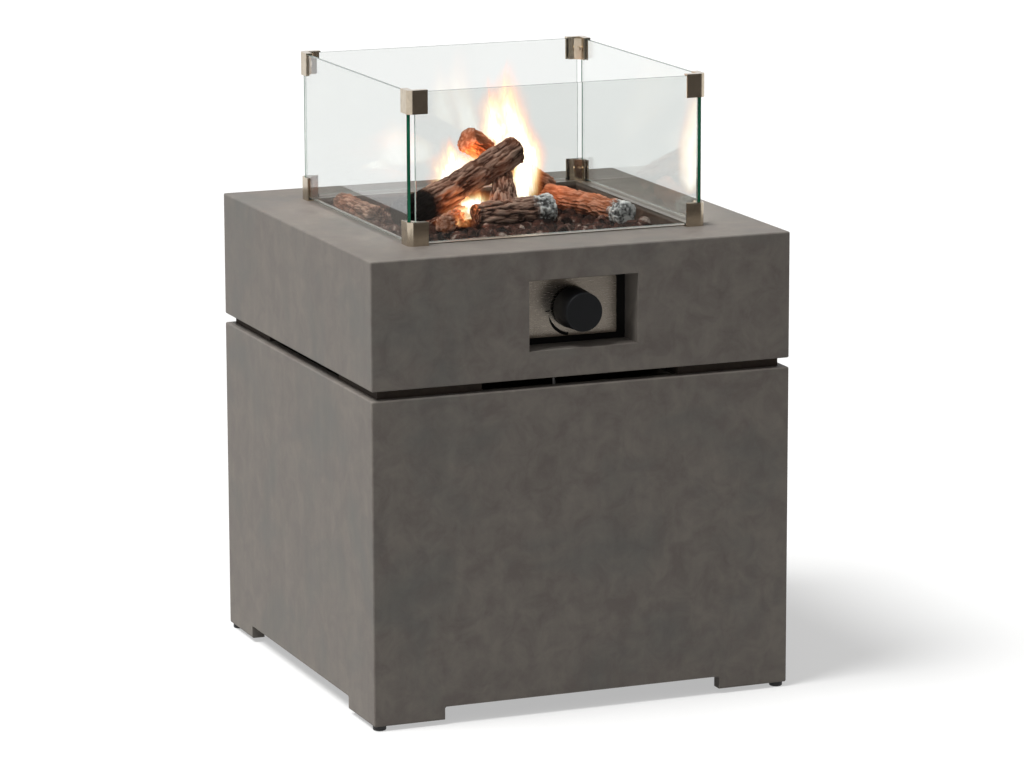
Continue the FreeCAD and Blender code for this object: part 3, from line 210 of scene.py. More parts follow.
def blotchyMetal(name, light, dark, roughness, blotchMm, metallic=1.0, depthMm=0.05, specular=0.5):
    # plated, cast or powder-coated metal: no direction, a mottle of its own size
    look = {"smoother": 0.05, "rougher": 0.12, "fine": (0.9, 2, 0.6), "bumpStrength": 0.5}
    material, tree, surface = newMaterial(name)
    place = objectPlace(tree)
    mottle = noiseOf(tree, place, blotchMm, detail=6, roughness=0.65, distortion=0.3)
    fine = noiseOf(tree, place, *look["fine"])
    base = rampOf(tree, mottle, [(0.32, dark), (0.68, light)])
    span = (roughness - look["smoother"], roughness + look["rougher"])
    normal = bumpOf(tree, fine, depthMm, look["bumpStrength"])
    surfaceOf(tree, surface, base, rangeOf(tree, mottle, wideSpan, span), normal, metallic, specular)
    return material


def mouldedPolymer(name, light, dark, roughness, grainMm=0.5, depthMm=0.04, specular=0.45):
    # moulded plastic or rubber from an eroded tool: a fine even grain with slightly worn patches
    look = {"smoother": 0.05, "rougher": 0.08, "wear": (18, 5, 0.6), "bumpStrength": 0.6}
    material, tree, surface = newMaterial(name)
    place = objectPlace(tree)
    grain = noiseOf(tree, place, grainMm, detail=2, roughness=0.5)
    wear = noiseOf(tree, place, *look["wear"])
    base = rampOf(tree, wear, [(0.35, dark), (0.7, light)])
    span = (roughness - look["smoother"], roughness + look["rougher"])
    normal = bumpOf(tree, grain, depthMm, look["bumpStrength"])
    surfaceOf(tree, surface, base, rangeOf(tree, wear, middleSpan, span), normal, specular=specular)
    return material


def toughenedGlass(name, faceAxis, edge, edgeLight):
    # clear float glass with ground edges: nearly colourless through its faces, green along upright edges
    look = {
        "face": "#eff1f0", "level": "#5d6b64", "shadow": "#f2f4f3", "ior": 1.5, "edgeRoughness": 0.25,
        "smears": (60, 4, 0.6), "smearRoughness": [(0.45, 0.0), (0.85, 0.02)],
        "depths": (9, 3, 0.5), "depthStretch": (1, 1, 0.15),
    }
    material, tree, surface = newMaterial(name)
    facing = addNode(tree, "TexCoord").outputs["Normal"]
    parts = addNode(tree, "SeparateXYZ", inputs={"Vector": facing}).outputs
    isEdge = mathOf(tree, "LESS_THAN", mathOf(tree, "ABSOLUTE", parts[faceAxis]), 0.5)
    isLevel = mathOf(tree, "GREATER_THAN", mathOf(tree, "ABSOLUTE", parts["Z"]), 0.5)
    smears = noiseOf(tree, objectPlace(tree), *look["smears"])
    inputs = {"Base Color": look["face"], "Roughness": rampOf(tree, smears, look["smearRoughness"])}
    inputs |= {"Transmission Weight": 1.0, "IOR": look["ior"]}
    clear = shaderOf(tree, "BsdfPrincipled", inputs)
    depths = noiseOf(tree, objectPlace(tree, look["depthStretch"]), *look["depths"])
    upright = rampOf(tree, depths, [(0.3, edge), (0.75, edgeLight)])
    edges = mixOf(tree, isLevel, upright, look["level"])
    ground = shaderOf(tree, "BsdfPrincipled", {"Base Color": edges, "Roughness": look["edgeRoughness"]})
    body = mixShaders(tree, isEdge, clear, ground)
    seeThrough = shaderOf(tree, "BsdfTransparent", {"Color": look["shadow"]})
    path = addNode(tree, "LightPath").outputs
    feed(tree, surface, mixShaders(tree, path["Is Shadow Ray"], body, seeThrough))
    return material


def sootyTray():
    # stainless pressing stained by heat: a bright rubbed rim, brown-black soot below it
    look = {
        "inner": [(0.35, "#2e251f"), (0.65, "#56463b")],
        "rim": "#979087", "rubShade": [(0.3, 0.4), (0.6, 1.0)], "rubShare": 0.35,
        "rimSpan": (0.626, 0.6315),     # metres above the floor, where soot turns into rim
        "stains": (16, 6, 0.68, 0.5), "rubs": (5, 5, 0.7), "bump": (0.2, 0.3),
        "metallic": (0, 0.9), "roughness": (0.75, 0.35), "specular": 0.15,
    }
    material, tree, surface = newMaterial("sootyTray")
    place = objectPlace(tree)
    height = addNode(tree, "SeparateXYZ", inputs={"Vector": place}).outputs["Z"]
    isRim = rangeOf(tree, height, look["rimSpan"], (0, 1))
    stains = noiseOf(tree, place, *look["stains"])
    rubs = rampOf(tree, noiseOf(tree, place, *look["rubs"]), look["rubShade"])
    rim = mixOf(tree, look["rubShare"], look["rim"], rubs, "MULTIPLY")
    base = mixOf(tree, isRim, rampOf(tree, stains, look["inner"]), rim)
    metallic = rangeOf(tree, isRim, (0, 1), look["metallic"])
    gloss = rangeOf(tree, isRim, (0, 1), look["roughness"])
    surfaceOf(tree, surface, base, gloss, bumpOf(tree, stains, *look["bump"]), metallic, look["specular"])
    return material


def barkedCeramic():
    # moulded ceramic fibre painted as bark, with ashy ends and charred ends; painted shade darkens the
    # furrows and the ash's hollows, and a painted highlight lightens the ridges and the ash's crumbs
    look = {
        # by relief: the dark bark tone is painted shade in the furrows and the light one a painted highlight
        # on the ridges; the ash tones do the same, painted shade in the ash's hollows and a painted highlight
        # on its crumbs
        "bark": [(0.26, "#35221a"), (0.52, "#76594c"), (0.84, "#9f8474")],
        "ash": [(0.40, "#434343"), (0.60, "#828483"), (0.88, "#bcbdba")],
        # the orange tint is painted firelight, the flames' light on the logs, mixed with a reddish bark tone
        "char": "#0c0908", "warm": "#c8784f", "redBarkAndFirelightShare": 0.5,
        "blotches": (26, 4, 0.6), "blotchShade": [(0.36, 0.55), (0.62, 1.0)], "blotchShare": 0.6,
        "fine": (2.2, 6, 0.72, 0.5), "fineTone": 0.35, "paintedReliefShade": 0.75, "bump": (1.0, 0.8),
        "roughness": 0.9, "specular": 0.04,
    }
    material, tree, surface = newMaterial("barkedCeramic")
    relief, ash, char, warm = (attributeOf(tree, name) for name in ("relief", "ash", "char", "warm"))
    place = objectPlace(tree)
    fine = noiseOf(tree, place, *look["fine"])
    blotches = rampOf(tree, noiseOf(tree, place, *look["blotches"]), look["blotchShade"])
    tone = mathOf(tree, "MULTIPLY", fine, look["fineTone"])
    # painted shade and highlight: the tone rises with the relief, so low furrows and hollows come out dark
    # and high ridges light
    tone = mathOf(tree, "MULTIPLY_ADD", relief, look["paintedReliefShade"], tone)
    base = rampOf(tree, tone, look["bark"])
    # painted firelight: an orange tint for the flames' light on the logs, together with a reddish bark tone
    base = mixOf(tree, warm, base, mixOf(tree, look["redBarkAndFirelightShare"], base, look["warm"]))
    base = mixOf(tree, look["blotchShare"], base, blotches, "MULTIPLY")
    base = mixOf(tree, ash, base, rampOf(tree, tone, look["ash"]))
    base = mixOf(tree, char, base, look["char"])
    normal = bumpOf(tree, fine, *look["bump"])
    surfaceOf(tree, surface, base, look["roughness"], normal, specular=look["specular"])
    return material


def lavaStone():
    # crushed scoria: black, brown and dusty grey stones, riddled with small holes
    look = {
        "tones": [(0.38, "#0e0a09"), (0.5, "#35231d"), (0.6, "#4b2f27"), (0.68, "#85786f")],
        "patches": (22, 3, 0.6, 0.8), "fine": (2.0, 5, 0.7), "fineHeight": 0.5,
        "holeMm": 2.2, "holeShade": [(0.15, 0.35), (0.5, 1.0)], "holeShare": 0.85, "holeHeight": 0.7,
        "roughness": 0.93, "specular": 0.05, "bump": (1.0, 0.8),
    }
    material, tree, surface = newMaterial("lavaStone")
    place = objectPlace(tree)
    patches = noiseOf(tree, place, *look["patches"])
    fine = noiseOf(tree, place, *look["fine"])
    inputs = {"Vector": place, "Scale": 1 / (look["holeMm"] * mm)}
    holes = addNode(tree, "TexVoronoi", inputs=inputs).outputs["Distance"]
    # painted shade: each small hole is coloured darker towards its middle, where the bump sinks in
    shade = rampOf(tree, holes, look["holeShade"])
    base = mixOf(tree, look["holeShare"], rampOf(tree, patches, look["tones"]), shade, "MULTIPLY")
    height = mathOf(tree, "MULTIPLY", fine, look["fineHeight"])
    height = mathOf(tree, "MULTIPLY_ADD", holes, look["holeHeight"], height)
    normal = bumpOf(tree, height, *look["bump"])
    surfaceOf(tree, surface, base, look["roughness"], normal, specular=look["specular"])
    return material


def burningGas():
    # yellow gas flame: white at its heart, orange where it thins, and clear outside
    look = {
        "tones": [(0.0, "#ff6a2c"), (0.22, "#ff9a52"), (0.45, "#ffdb9c"), (0.68, "#fff5e2")],
        "strength": 3.0, "wisps": (13, 4, 0.6, 1.0), "wispStretch": (1, 1, 0.3),
        "wispSpan": (0.3, 0.6), "wispLevel": (0.62, 1.08), "thinning": 1.5, "densest": 0.88,
    }
    material, tree, surface = newMaterial("burningGas")
    wisps = noiseOf(tree, objectPlace(tree, look["wispStretch"]), *look["wisps"])
    wisps = rangeOf(tree, wisps, look["wispSpan"], look["wispLevel"])
    body = mathOf(tree, "MULTIPLY", attributeOf(tree, "fade"), wisps, clamp=True)
    inputs = {"Color": rampOf(tree, body, look["tones"]), "Strength": look["strength"]}
    glow = shaderOf(tree, "Emission", inputs)
    alpha = mathOf(tree, "POWER", body, look["thinning"])
    alpha = mathOf(tree, "MULTIPLY", alpha, look["densest"], clamp=True)
    feed(tree, surface, mixShaders(tree, alpha, shaderOf(tree, "BsdfTransparent"), glow))
    return material


# name, light tone, dark tone and roughness come first
materials = {
    "concrete": fibreConcrete(),
    "clampSteel": brushedMetal(
        "brushedStainlessClamp", "#c8bba8", "#bdb09d", 0.2,
        stretch=(1, 1, 0.12), grainMm=0.5, stainMm=9, stain=0.28, relief=0.06),
    "fasciaSteel": brushedMetal(
        "brushedStainlessFascia", "#b0a79b", "#aca398", 0.24,
        stretch=(0.04, 1, 1), grainMm=0.4, stainMm=30, stain=0.12, relief=0.012),
    "burnerSteel": brushedMetal(
        "heatTintedStainless", "#8b6f52", "#4b423f", 0.4,
        stretch=(0.2, 0.2, 1), grainMm=1.0, stainMm=20, stain=0.5),
    "aluminiumTube": brushedMetal(
        "drawnAluminiumTube", "#cfd1d2", "#a5a8aa", 0.33,
        stretch=(0.3, 0.3, 1), grainMm=0.7, stainMm=22, stain=0.15),
    "brass": brushedMetal(
        "turnedBrass", "#d8b26a", "#a67f3f", 0.28, stretch=(1, 1, 0.2), grainMm=0.5, stainMm=12, stain=0.2),
    "copper": brushedMetal(
        "copperCapillary", "#c9825c", "#8f5236", 0.33,
        stretch=(1, 1, 0.3), grainMm=0.6, stainMm=15, stain=0.3),
    "zinc": blotchyMetal("zincPlatedSteel", "#c5c8c9", "#8e9193", 0.32, blotchMm=4.0),
    "castAlloy": blotchyMetal("dieCastAlloy", "#b2b3b2", "#858684", 0.45, blotchMm=2.5, depthMm=0.1),
    "powderCoat": blotchyMetal(
        "blackPowderCoat", "#1a1918", "#100f0e", 0.55,
        blotchMm=3.0, metallic=0.0, depthMm=0.12, specular=0.1),
    "knob": mouldedPolymer(
        "softTouchPolymer", "#101114", "#0b0c0e", 0.52, grainMm=0.45, depthMm=0.03, specular=0.2),
    "blackPolymer": mouldedPolymer("blackNylon", "#1b1b1c", "#111112", 0.55),
    "board": mouldedPolymer(
        "blackCompositeBoard", "#463d36", "#352e29", 0.85, grainMm=1.5, depthMm=0.1, specular=0.2),
    "rubber": mouldedPolymer(
        "blackSiliconeRubber", "#1c1c1c", "#121212", 0.7, grainMm=0.4, depthMm=0.03, specular=0.3),
    "ceramic": mouldedPolymer(
        "glazedSteatite", "#ece7db", "#d8d2c4", 0.18, grainMm=1.2, depthMm=0.01, specular=0.6),
    "ink": mouldedPolymer(
        "blackScreenInk", "#0c0b0a", "#080707", 0.6, grainMm=0.3, depthMm=0.005, specular=0.1),
    "tray": sootyTray(),
    "bark": barkedCeramic(),
    "lava": lavaStone(),
    "glassY": toughenedGlass("toughenedGlassAcrossY", "Y", edge="#7b8f86", edgeLight="#a9b8b0"),
    "glassX": toughenedGlass("toughenedGlassAcrossX", "X", edge="#0b5f42", edgeLight="#23805f"),
    "flame": burningGas(),
}

finishOfNode = {
    "concrete": ["pedestal_shell", "burner_box", "rear_door"],
    "clampSteel": ["clamp_angles", "clamp_inner_plates", "clamp_screws"],
    "fasciaSteel": ["control_fascia"],
    "burnerSteel": ["burner_ring", "mixer_tube"],
    "zinc": [
        "foot_screws", "wall_screws", "box_bolts", "panel_screws", "shield_screws", "door_pivot_pins",
        "catch_strike", "return_spring", "thrust_washer", "tray_clips", "inlet_bracket", "valve_spindle",
        "air_shutter", "heat_shield", "shield_standoffs",
    ],
    "powderCoat": ["base_plate", "control_panel"],
    "board": ["corner_spacers"],
    "blackPolymer": ["door_pivot_bushes", "door_pull", "catch_magnet", "feet", "spark_igniter"],
    "knob": ["knob"],
    "brass": ["box_inserts", "inlet_connector", "injector", "valve_plug", "magnet_unit"],
    "castAlloy": ["gas_valve"],
    "aluminiumTube": ["gas_pipe", "inlet_pipe"],
    "copper": ["thermocouple"],
    "ceramic": ["spark_electrode"],
    "rubber": ["electrode_lead", "clamp_pads"],
    "tray": ["burner_tray", "lava_grate", "igniter_bracket"],
    "bark": [
        "log_forked", "log_leaning_front", "log_leaning_rear", "log_right", "log_front_left", "log_left_side",
    ],
    "lava": ["lava_bed", "lava_rocks"],
    "glassY": ["glass_front", "glass_rear"],
    "glassX": ["glass_left", "glass_right"],
}
for finish, names in finishOfNode.items():
    for name in names:
        nodes[name].data.materials.clear()
        nodes[name].data.materials.append(materials[finish])
print("materials on", sum(len(names) for names in finishOfNode.values()), "nodes")


# objects, and surfaces in numpy

def addObject(name, data):
    thing = bpy.data.objects.new(name, data)
    scene.collection.objects.link(thing)
    return thing


lattice = {"size": 32, "shift": 1000.0}  # cells until it repeats, and cells added so that none is negative


def latticeNoise(points, cellMm, seed):
    # value noise: random numbers on a cubic lattice, blended with the smooth step 3t^2 - 2t^3
    size = lattice["size"]
    table = np.random.default_rng(seed).random((size, size, size))
    scaled = points / (cellMm * mm) + lattice["shift"]
    base = np.floor(scaled).astype(int)
    part = scaled - base
    part = part * part * (3 - 2 * part)
    total = np.zeros(points.shape[:-1])
    for corner in range(8):
        step = np.array([corner & 1, corner >> 1 & 1, corner >> 2 & 1])
        cell = (base + step) % size
        weight = np.prod(np.where(step == 1, part, 1 - part), axis=-1)
        total += weight * table[cell[..., 0], cell[..., 1], cell[..., 2]]
    return total


def layeredNoise(points, cellMm, octaves, seed, gain=0.55):
    # a sum of lattice noises, each half the size and gain times the strength of the one before, from 0 to 1
    total = np.zeros(points.shape[:-1])
    weight, reach = 1.0, 0.0
    for octave in range(octaves):
        total += weight * latticeNoise(points, cellMm / 2 ** octave, seed + octave)
        reach += weight
        weight *= gain
    return total / reach


def meshPiece(name, vertices, faces, body, finish, attributes=None, smooth=True):
    # a visible piece that rides on a body, with one number per point for each attribute
    mesh = bpy.data.meshes.new(name)
    mesh.from_pydata(vertices.reshape(-1, 3).tolist(), [], faces)
    for key, values in (attributes or {}).items():
        layer = mesh.attributes.new(key, "FLOAT", "POINT")
        layer.data.foreach_set("value", np.ascontiguousarray(values.ravel(), dtype=np.float32))
    mesh.polygons.foreach_set("use_smooth", [smooth] * len(mesh.polygons))
    mesh.materials.append(materials[finish])
    mesh.update()
    piece = addObject(name, mesh)
    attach(piece, body)
    return piece


def gridFaces(rows, columns, closed=False, start=0):
    # quads between neighbouring rows and columns of a grid whose index is row * columns + column
    across = columns if closed else columns - 1
    row, column = np.meshgrid(np.arange(rows - 1), np.arange(across), indexing="ij")
    following = (column + 1) % columns
    low, high = row * columns, (row + 1) * columns
    quads = np.stack([low + column, low + following, high + following, high + column], axis=-1)
    return (quads.reshape(-1, 4) + start).tolist()


def fullTurn(steps):
    # angles evenly round a circle
    return np.arange(steps) / steps * 2 * math.pi


# ceramic logs

logSet = {
    "unit": 0.195,          # half the tray's width, in metres; places, radii and bows are shares of it
    "bedTop": 0.613,        # metres above the floor, where a place's third number is 0
    "around": 112, "along": 190, "capRows": 16,
    "capSpan": (0.02, 0.98),    # the part of the quarter turn over each end that has rows
    "capPower": 0.45,       # a lower power gives an end a squarer shoulder
    "capHeight": 0.16, "capPattern": 0.5,   # in radii: an end's dome, and how far the bark runs on over it
    "barkStretch": 0.24,    # a lower share draws ridges and furrows out along the log
    # noise layers of the bark: cell in mm, octaves and what is added to the log's own seed
    "layers": {"ridge": (3.6, 3, 0), "furrow": (6.0, 3, 9), "lump": (34, 2, 17), "crumb": (3.4, 3, 27)},
    "ridgeGain": 1.5, "ridgeLevel": 0.62, "furrowGain": 0.6, "furrowSharpness": 4.5,
    "barkDepth": 0.0037,    # metres from the deepest furrow to the highest ridge
    "lumpShare": 0.30,      # of the radius
    # share of the length over which ash or char thickens, and how far its edge crumbles
    "ashFade": 0.16, "ashGain": 1.7, "ashCrumbLevel": 0.62, "ashCrumbGain": 1.8, "ashRelief": 2.0,
    "charFade": 0.08, "charCrumbs": 1.2,
    # painted firelight: each log's share of the orange tint stands for the flames' light on that log, with a
    # reddish bark tone
    "redBarkAndFirelightFrom": 0.1,        # logs below this stay without a warm tone
    # a log is charred up to the share charTo of its length and ashy from the share ashFrom
    "logs": {
        "log_leaning_front": dict(
            start=(-0.718, 0.010, 0.108), end=(0.270, 0.392, 0.460), radii=(0.106, 0.099), bow=0.026,
            charTo=0.26, ashFrom=1.0, warm=0.12, seed=3),
        "log_leaning_rear": dict(
            start=(0.700, 0.810, 0.112), end=(-0.026, 0.564, 0.528), radii=(0.067, 0.087), bow=-0.021,
            charTo=0.0, ashFrom=1.0, warm=0.5, seed=11),
        "log_forked": dict(
            start=(-0.222, -0.095, 0.084), end=(0.368, 0.000, 0.090), radii=(0.092, 0.108), bow=0.015,
            charTo=0.05, ashFrom=0.70, warm=0.05, seed=23),
        "log_right": dict(
            start=(0.612, 0.560, 0.082), end=(0.812, -0.372, 0.080), radii=(0.082, 0.074), bow=-0.021,
            charTo=0.0, ashFrom=0.78, warm=0.7, seed=31),
        "log_front_left": dict(
            start=(-0.513, -0.256, 0.072), end=(-0.051, 0.503, 0.072), radii=(0.067, 0.062), bow=0.021,
            charTo=0.0, ashFrom=1.0, warm=0.6, seed=41),
        "log_left_side": dict(
            start=(-0.831, 0.913, 0.077), end=(-0.821, 0.246, 0.077), radii=(0.067, 0.072), bow=0.015,
            charTo=0.0, ashFrom=1.0, warm=0.15, seed=53),
    },
    # the forked log's side branch, whose root lies this share along the log
    "fork": dict(
        rootShare=0.38, tip=(0.150, 0.320, 0.300), radii=(0.122, 0.062), bow=0.0,
        charTo=0.0, ashFrom=1.0, warm=0.15, seed=61),
}


def logPlace(share):
    unit = logSet["unit"]
    return np.array([share[0] * unit, share[1] * unit, logSet["bedTop"] + share[2] * unit])


def barkLayer(name, points, seed):
    cellMm, octaves, seedStep = logSet["layers"][name]
    return layeredNoise(points, cellMm, octaves, seed + seedStep)


def logSurface(start, end, log):
    # A tube about a bowed centre line. Along the line the radius runs evenly from one end's to the other's,
    # and each end closes over a low dome. The bark stands out by noise that is stretched along the log, less
    # deep furrows where a second stretched noise is near its middle value.
    around, along, capRows = logSet["around"], logSet["along"], logSet["capRows"]
    firstRadius, lastRadius = (share * logSet["unit"] for share in log["radii"])
    bow = log["bow"] * logSet["unit"]
    axis = end - start
    length = np.linalg.norm(axis)
    axis = axis / length
    side = np.cross(axis, [0, 0, 1.0])
    side /= np.linalg.norm(side)
    over = np.cross(side, axis)

    t = np.concatenate([np.zeros(capRows), np.linspace(0, 1, along), np.ones(capRows)])
    dome = np.linspace(*logSet["capSpan"], capRows) * math.pi / 2
    narrowing = np.sin(dome) ** logSet["capPower"]
    shrink = np.concatenate([narrowing, np.ones(along), narrowing[::-1]])
    bulge = np.concatenate([-np.cos(dome), np.zeros(along), np.cos(dome[::-1])])
    angle = fullTurn(around)
    radius = firstRadius + (lastRadius - firstRadius) * t
    centre = start + np.outer(t, end - start) + np.outer(np.sin(math.pi * t), side) * bow
    centre = centre + np.outer(bulge * radius * logSet["capHeight"], axis)
    spoke = np.cos(angle)[:, None] * side + np.sin(angle)[:, None] * over

    lengthwise = t * length + bulge * radius * logSet["capPattern"]
    local = np.stack([
        np.broadcast_to(lengthwise[:, None], (len(t), around)),
        np.outer(radius * shrink, np.cos(angle)),
        np.outer(radius * shrink, np.sin(angle)),
    ], axis=-1)
    stretched = local * np.array([logSet["barkStretch"], 1, 1])
    ridges = barkLayer("ridge", stretched, log["seed"])
    furrow = 1 - np.abs(barkLayer("furrow", stretched, log["seed"]) * 2 - 1) * logSet["furrowSharpness"]
    furrow = np.clip(furrow, 0, 1)
    lumps = barkLayer("lump", local, log["seed"]) - 0.5
    crumbs = barkLayer("crumb", local, log["seed"])

    ash = np.clip((t - log["ashFrom"]) / logSet["ashFade"], 0, 1)[:, None]
    ashCrumbs = (crumbs - logSet["ashCrumbLevel"]) * logSet["ashCrumbGain"] * (ash > 0)
    ash = np.clip(ash * logSet["ashGain"] + ashCrumbs, 0, 1)
    char = np.zeros_like(crumbs)
    if log["charTo"] > 0:
        nearness = (log["charTo"] - t[:, None]) / logSet["charFade"]
        char = np.clip(nearness + (crumbs - 0.5) * logSet["charCrumbs"], 0, 1)
    # painted firelight and reddish bark: the log's share of the orange tint, laid on in lumpy patches
    warm = np.clip(log["warm"] + lumps, 0, 1) * (log["warm"] > logSet["redBarkAndFirelightFrom"])

    bark = (ridges - 0.5) * logSet["ridgeGain"] + logSet["ridgeLevel"]
    bark = bark - logSet["furrowGain"] * furrow * (1 - ash)
    relief = np.clip(bark + ash * (crumbs - 0.5) * logSet["ashRelief"], 0, 1)
    height = (relief - 0.5) * logSet["barkDepth"] + lumps * radius[:, None] * logSet["lumpShare"]
    reach = (radius[:, None] + height) * shrink[:, None]
    points = centre[:, None, :] + reach[:, :, None] * spoke[None, :, :]
    return points, {"relief": relief, "ash": ash, "char": char, "warm": warm}


def logPiece(name, surfaces, node):
    # one mesh of all surfaces, each closed at its ends by fans round a middle point
    vertices, faces = [], []
    columns = {key: [] for key in surfaces[0][1]}
    count = 0
    for points, layers in surfaces:
        rows, around = points.shape[:2]
        faces += gridFaces(rows, around, closed=True, start=count)
        firstMiddle, lastMiddle = points[0].mean(axis=0), points[-1].mean(axis=0)
        vertices += [points.reshape(-1, 3), firstMiddle[None, :], lastMiddle[None, :]]
        for key, values in layers.items():
            columns[key] += [values.ravel(), [values[0].mean()], [values[-1].mean()]]
        lastRow = count + (rows - 1) * around
        firstPole, lastPole = lastRow + around, lastRow + around + 1
        ring = [(step, (step + 1) % around) for step in range(around)]
        faces += [[firstPole, count + b, count + a] for a, b in ring]
        faces += [[lastPole, lastRow + a, lastRow + b] for a, b in ring]
        count += rows * around + 2
    attributes = {key: np.concatenate(values) for key, values in columns.items()}
    piece = meshPiece(name, np.concatenate(vertices), faces, "fire_pit", "bark", attributes)
    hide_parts(node)


for node, log in logSet["logs"].items():
    start, end = logPlace(log["start"]), logPlace(log["end"])
    surfaces = [logSurface(start, end, log)]
    if node == "log_forked":
        fork = logSet["fork"]
        root = start + (end - start) * fork["rootShare"]
        surfaces.append(logSurface(root, logPlace(fork["tip"]), fork))
    words = node.split("_")
    logPiece(words[0] + "".join(word.capitalize() for word in words[1:]), surfaces, node)
print("logs made:", len(logSet["logs"]))


# lava stones

lavaBed = {
    "half": 0.1935, "bottom": 0.5925, "top": 0.608,     # metres
    "cells": 150,
    "heap": (16, 4, 91), "heapHeight": 0.012,       # noise as cell in mm, octaves and seed; metres
    "stones": 520, "smallMm": 6.5, "largeMm": 14.0, "seed": 7,
    "triesPerStone": 6,
    "margin": 0.012,        # metres that stones keep from the bed's edge
    "rings": 7, "around": 9,
    "squash": (0.65, 1.0),
    # in a stone's own sizes: its lift over the bed, lower within nearGap of a log; none within leastGap
    "lift": 0.35, "nearLift": 0.1, "nearGap": 0.75, "leastGap": 0.2,
    # a stone's reach is leastReach plus roughReach times noise, read on a small ball at its own place
    "leastReach": 0.72, "roughReach": 0.62, "rough": (7.0, 5),
    "noiseBall": 0.01, "noiseSpread": 3,
}


def distanceToLogs(points):
    # the distance from each point to the nearest log's skin, measured to its straight centre line
    nearest = np.full(points.shape[:-1], np.inf)
    for log in logSet["logs"].values():
        start, end = logPlace(log["start"]), logPlace(log["end"])
        run = end - start
        share = np.clip(((points - start) @ run) / (run @ run), 0, 1)
        gap = np.linalg.norm(start + share[..., None] * run - points, axis=-1)
        nearest = np.minimum(nearest, gap - max(log["radii"]) * logSet["unit"])
    return nearest


def bedPiece():
    # A block whose top is a height field, a level plus noise in four sizes. Its sides drop straight from the
    # outer ring, and one face closes its underside.
    cells, half = lavaBed["cells"], lavaBed["half"]
    line = np.linspace(-half, half, cells)
    x, y = np.meshgrid(line, line, indexing="xy")
    flat = np.stack([x, y, np.zeros_like(x)], axis=-1)
    heap = layeredNoise(flat, *lavaBed["heap"]) - 0.5
    z = lavaBed["top"] + heap * lavaBed["heapHeight"]
    top = np.stack([x, y, z], axis=-1).reshape(-1, 3)
    ring = np.concatenate([
        np.arange(cells),
        np.arange(1, cells) * cells + cells - 1,
        (cells - 1) * cells + np.arange(cells - 2, -1, -1),
        np.arange(cells - 2, 0, -1) * cells,
    ]).tolist()
    low = top[ring].copy()
    low[:, 2] = lavaBed["bottom"]
    faces = gridFaces(cells, cells)
    offset, count = cells * cells, len(ring)
    for step in range(count):
        following = (step + 1) % count
        faces.append([ring[following], ring[step], offset + step, offset + following])
    faces.append([offset + step for step in reversed(range(count))])
    piece = meshPiece("lavaBed", np.concatenate([top, low]), faces, "fire_pit", "lava")
    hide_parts("lava_bed")


def stonePiece():
    # Each stone is a ball of few faces: a ring's radius is the sine of its polar angle, and every point
    # moves out or in by noise of the stone's own place, then the ball is squashed and turned.
    random = np.random.default_rng(lavaBed["seed"])
    half = lavaBed["half"] - lavaBed["margin"]
    rings, around, count = lavaBed["rings"], lavaBed["around"], lavaBed["stones"]
    polar = np.linspace(0, math.pi, rings)
    turn = fullTurn(around)
    ball = np.stack([
        np.outer(np.sin(polar), np.cos(turn)),
        np.outer(np.sin(polar), np.sin(turn)),
        np.broadcast_to(np.cos(polar)[:, None], (rings, around)),
    ], axis=-1)
    vertices, faces = [], []
    made = 0
    for _ in range(count * lavaBed["triesPerStone"]):
        size = random.uniform(lavaBed["smallMm"], lavaBed["largeMm"]) * mm
        x = random.uniform(-half, half)
        y = random.uniform(-half, half)
        place = np.array([x, y, lavaBed["top"] + size * lavaBed["lift"]])
        squash = random.uniform(*lavaBed["squash"], 3)
        spin = random.uniform(0, 2 * math.pi)
        gap = distanceToLogs(place[None, :])[0]
        if gap < size * lavaBed["leastGap"]:
            continue
        if gap < size * lavaBed["nearGap"]:
            place[2] = lavaBed["top"] + size * lavaBed["nearLift"]
        noisePlace = ball * lavaBed["noiseBall"] + place * lavaBed["noiseSpread"]
        reach = lavaBed["leastReach"] + lavaBed["roughReach"] * latticeNoise(noisePlace, *lavaBed["rough"])
        shape = ball * reach[..., None] * size * squash
        turned = np.stack([
            shape[..., 0] * math.cos(spin) - shape[..., 1] * math.sin(spin),
            shape[..., 0] * math.sin(spin) + shape[..., 1] * math.cos(spin),
            shape[..., 2],
        ], axis=-1)
        points = place + turned
        inner = points[1:-1].reshape(-1, 3)
        poles = np.stack([points[0].mean(axis=0), points[-1].mean(axis=0)])
        offset = made * (len(inner) + 2)
        faces += [face[::-1] for face in gridFaces(rings - 2, around, closed=True, start=offset)]
        top, bottom = offset + len(inner), offset + len(inner) + 1
        last = offset + (rings - 3) * around
        for column in range(around):
            following = (column + 1) % around
            faces.append([top, offset + column, offset + following])
            faces.append([bottom, last + following, last + column])
        vertices += [inner, poles]
        made += 1
        if made == count:
            break
    piece = meshPiece("lavaStones", np.concatenate(vertices), faces, "fire_pit", "lava")
    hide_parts("lava_rocks")
    print("stones made:", made)


bedPiece()
stonePiece()


# flames

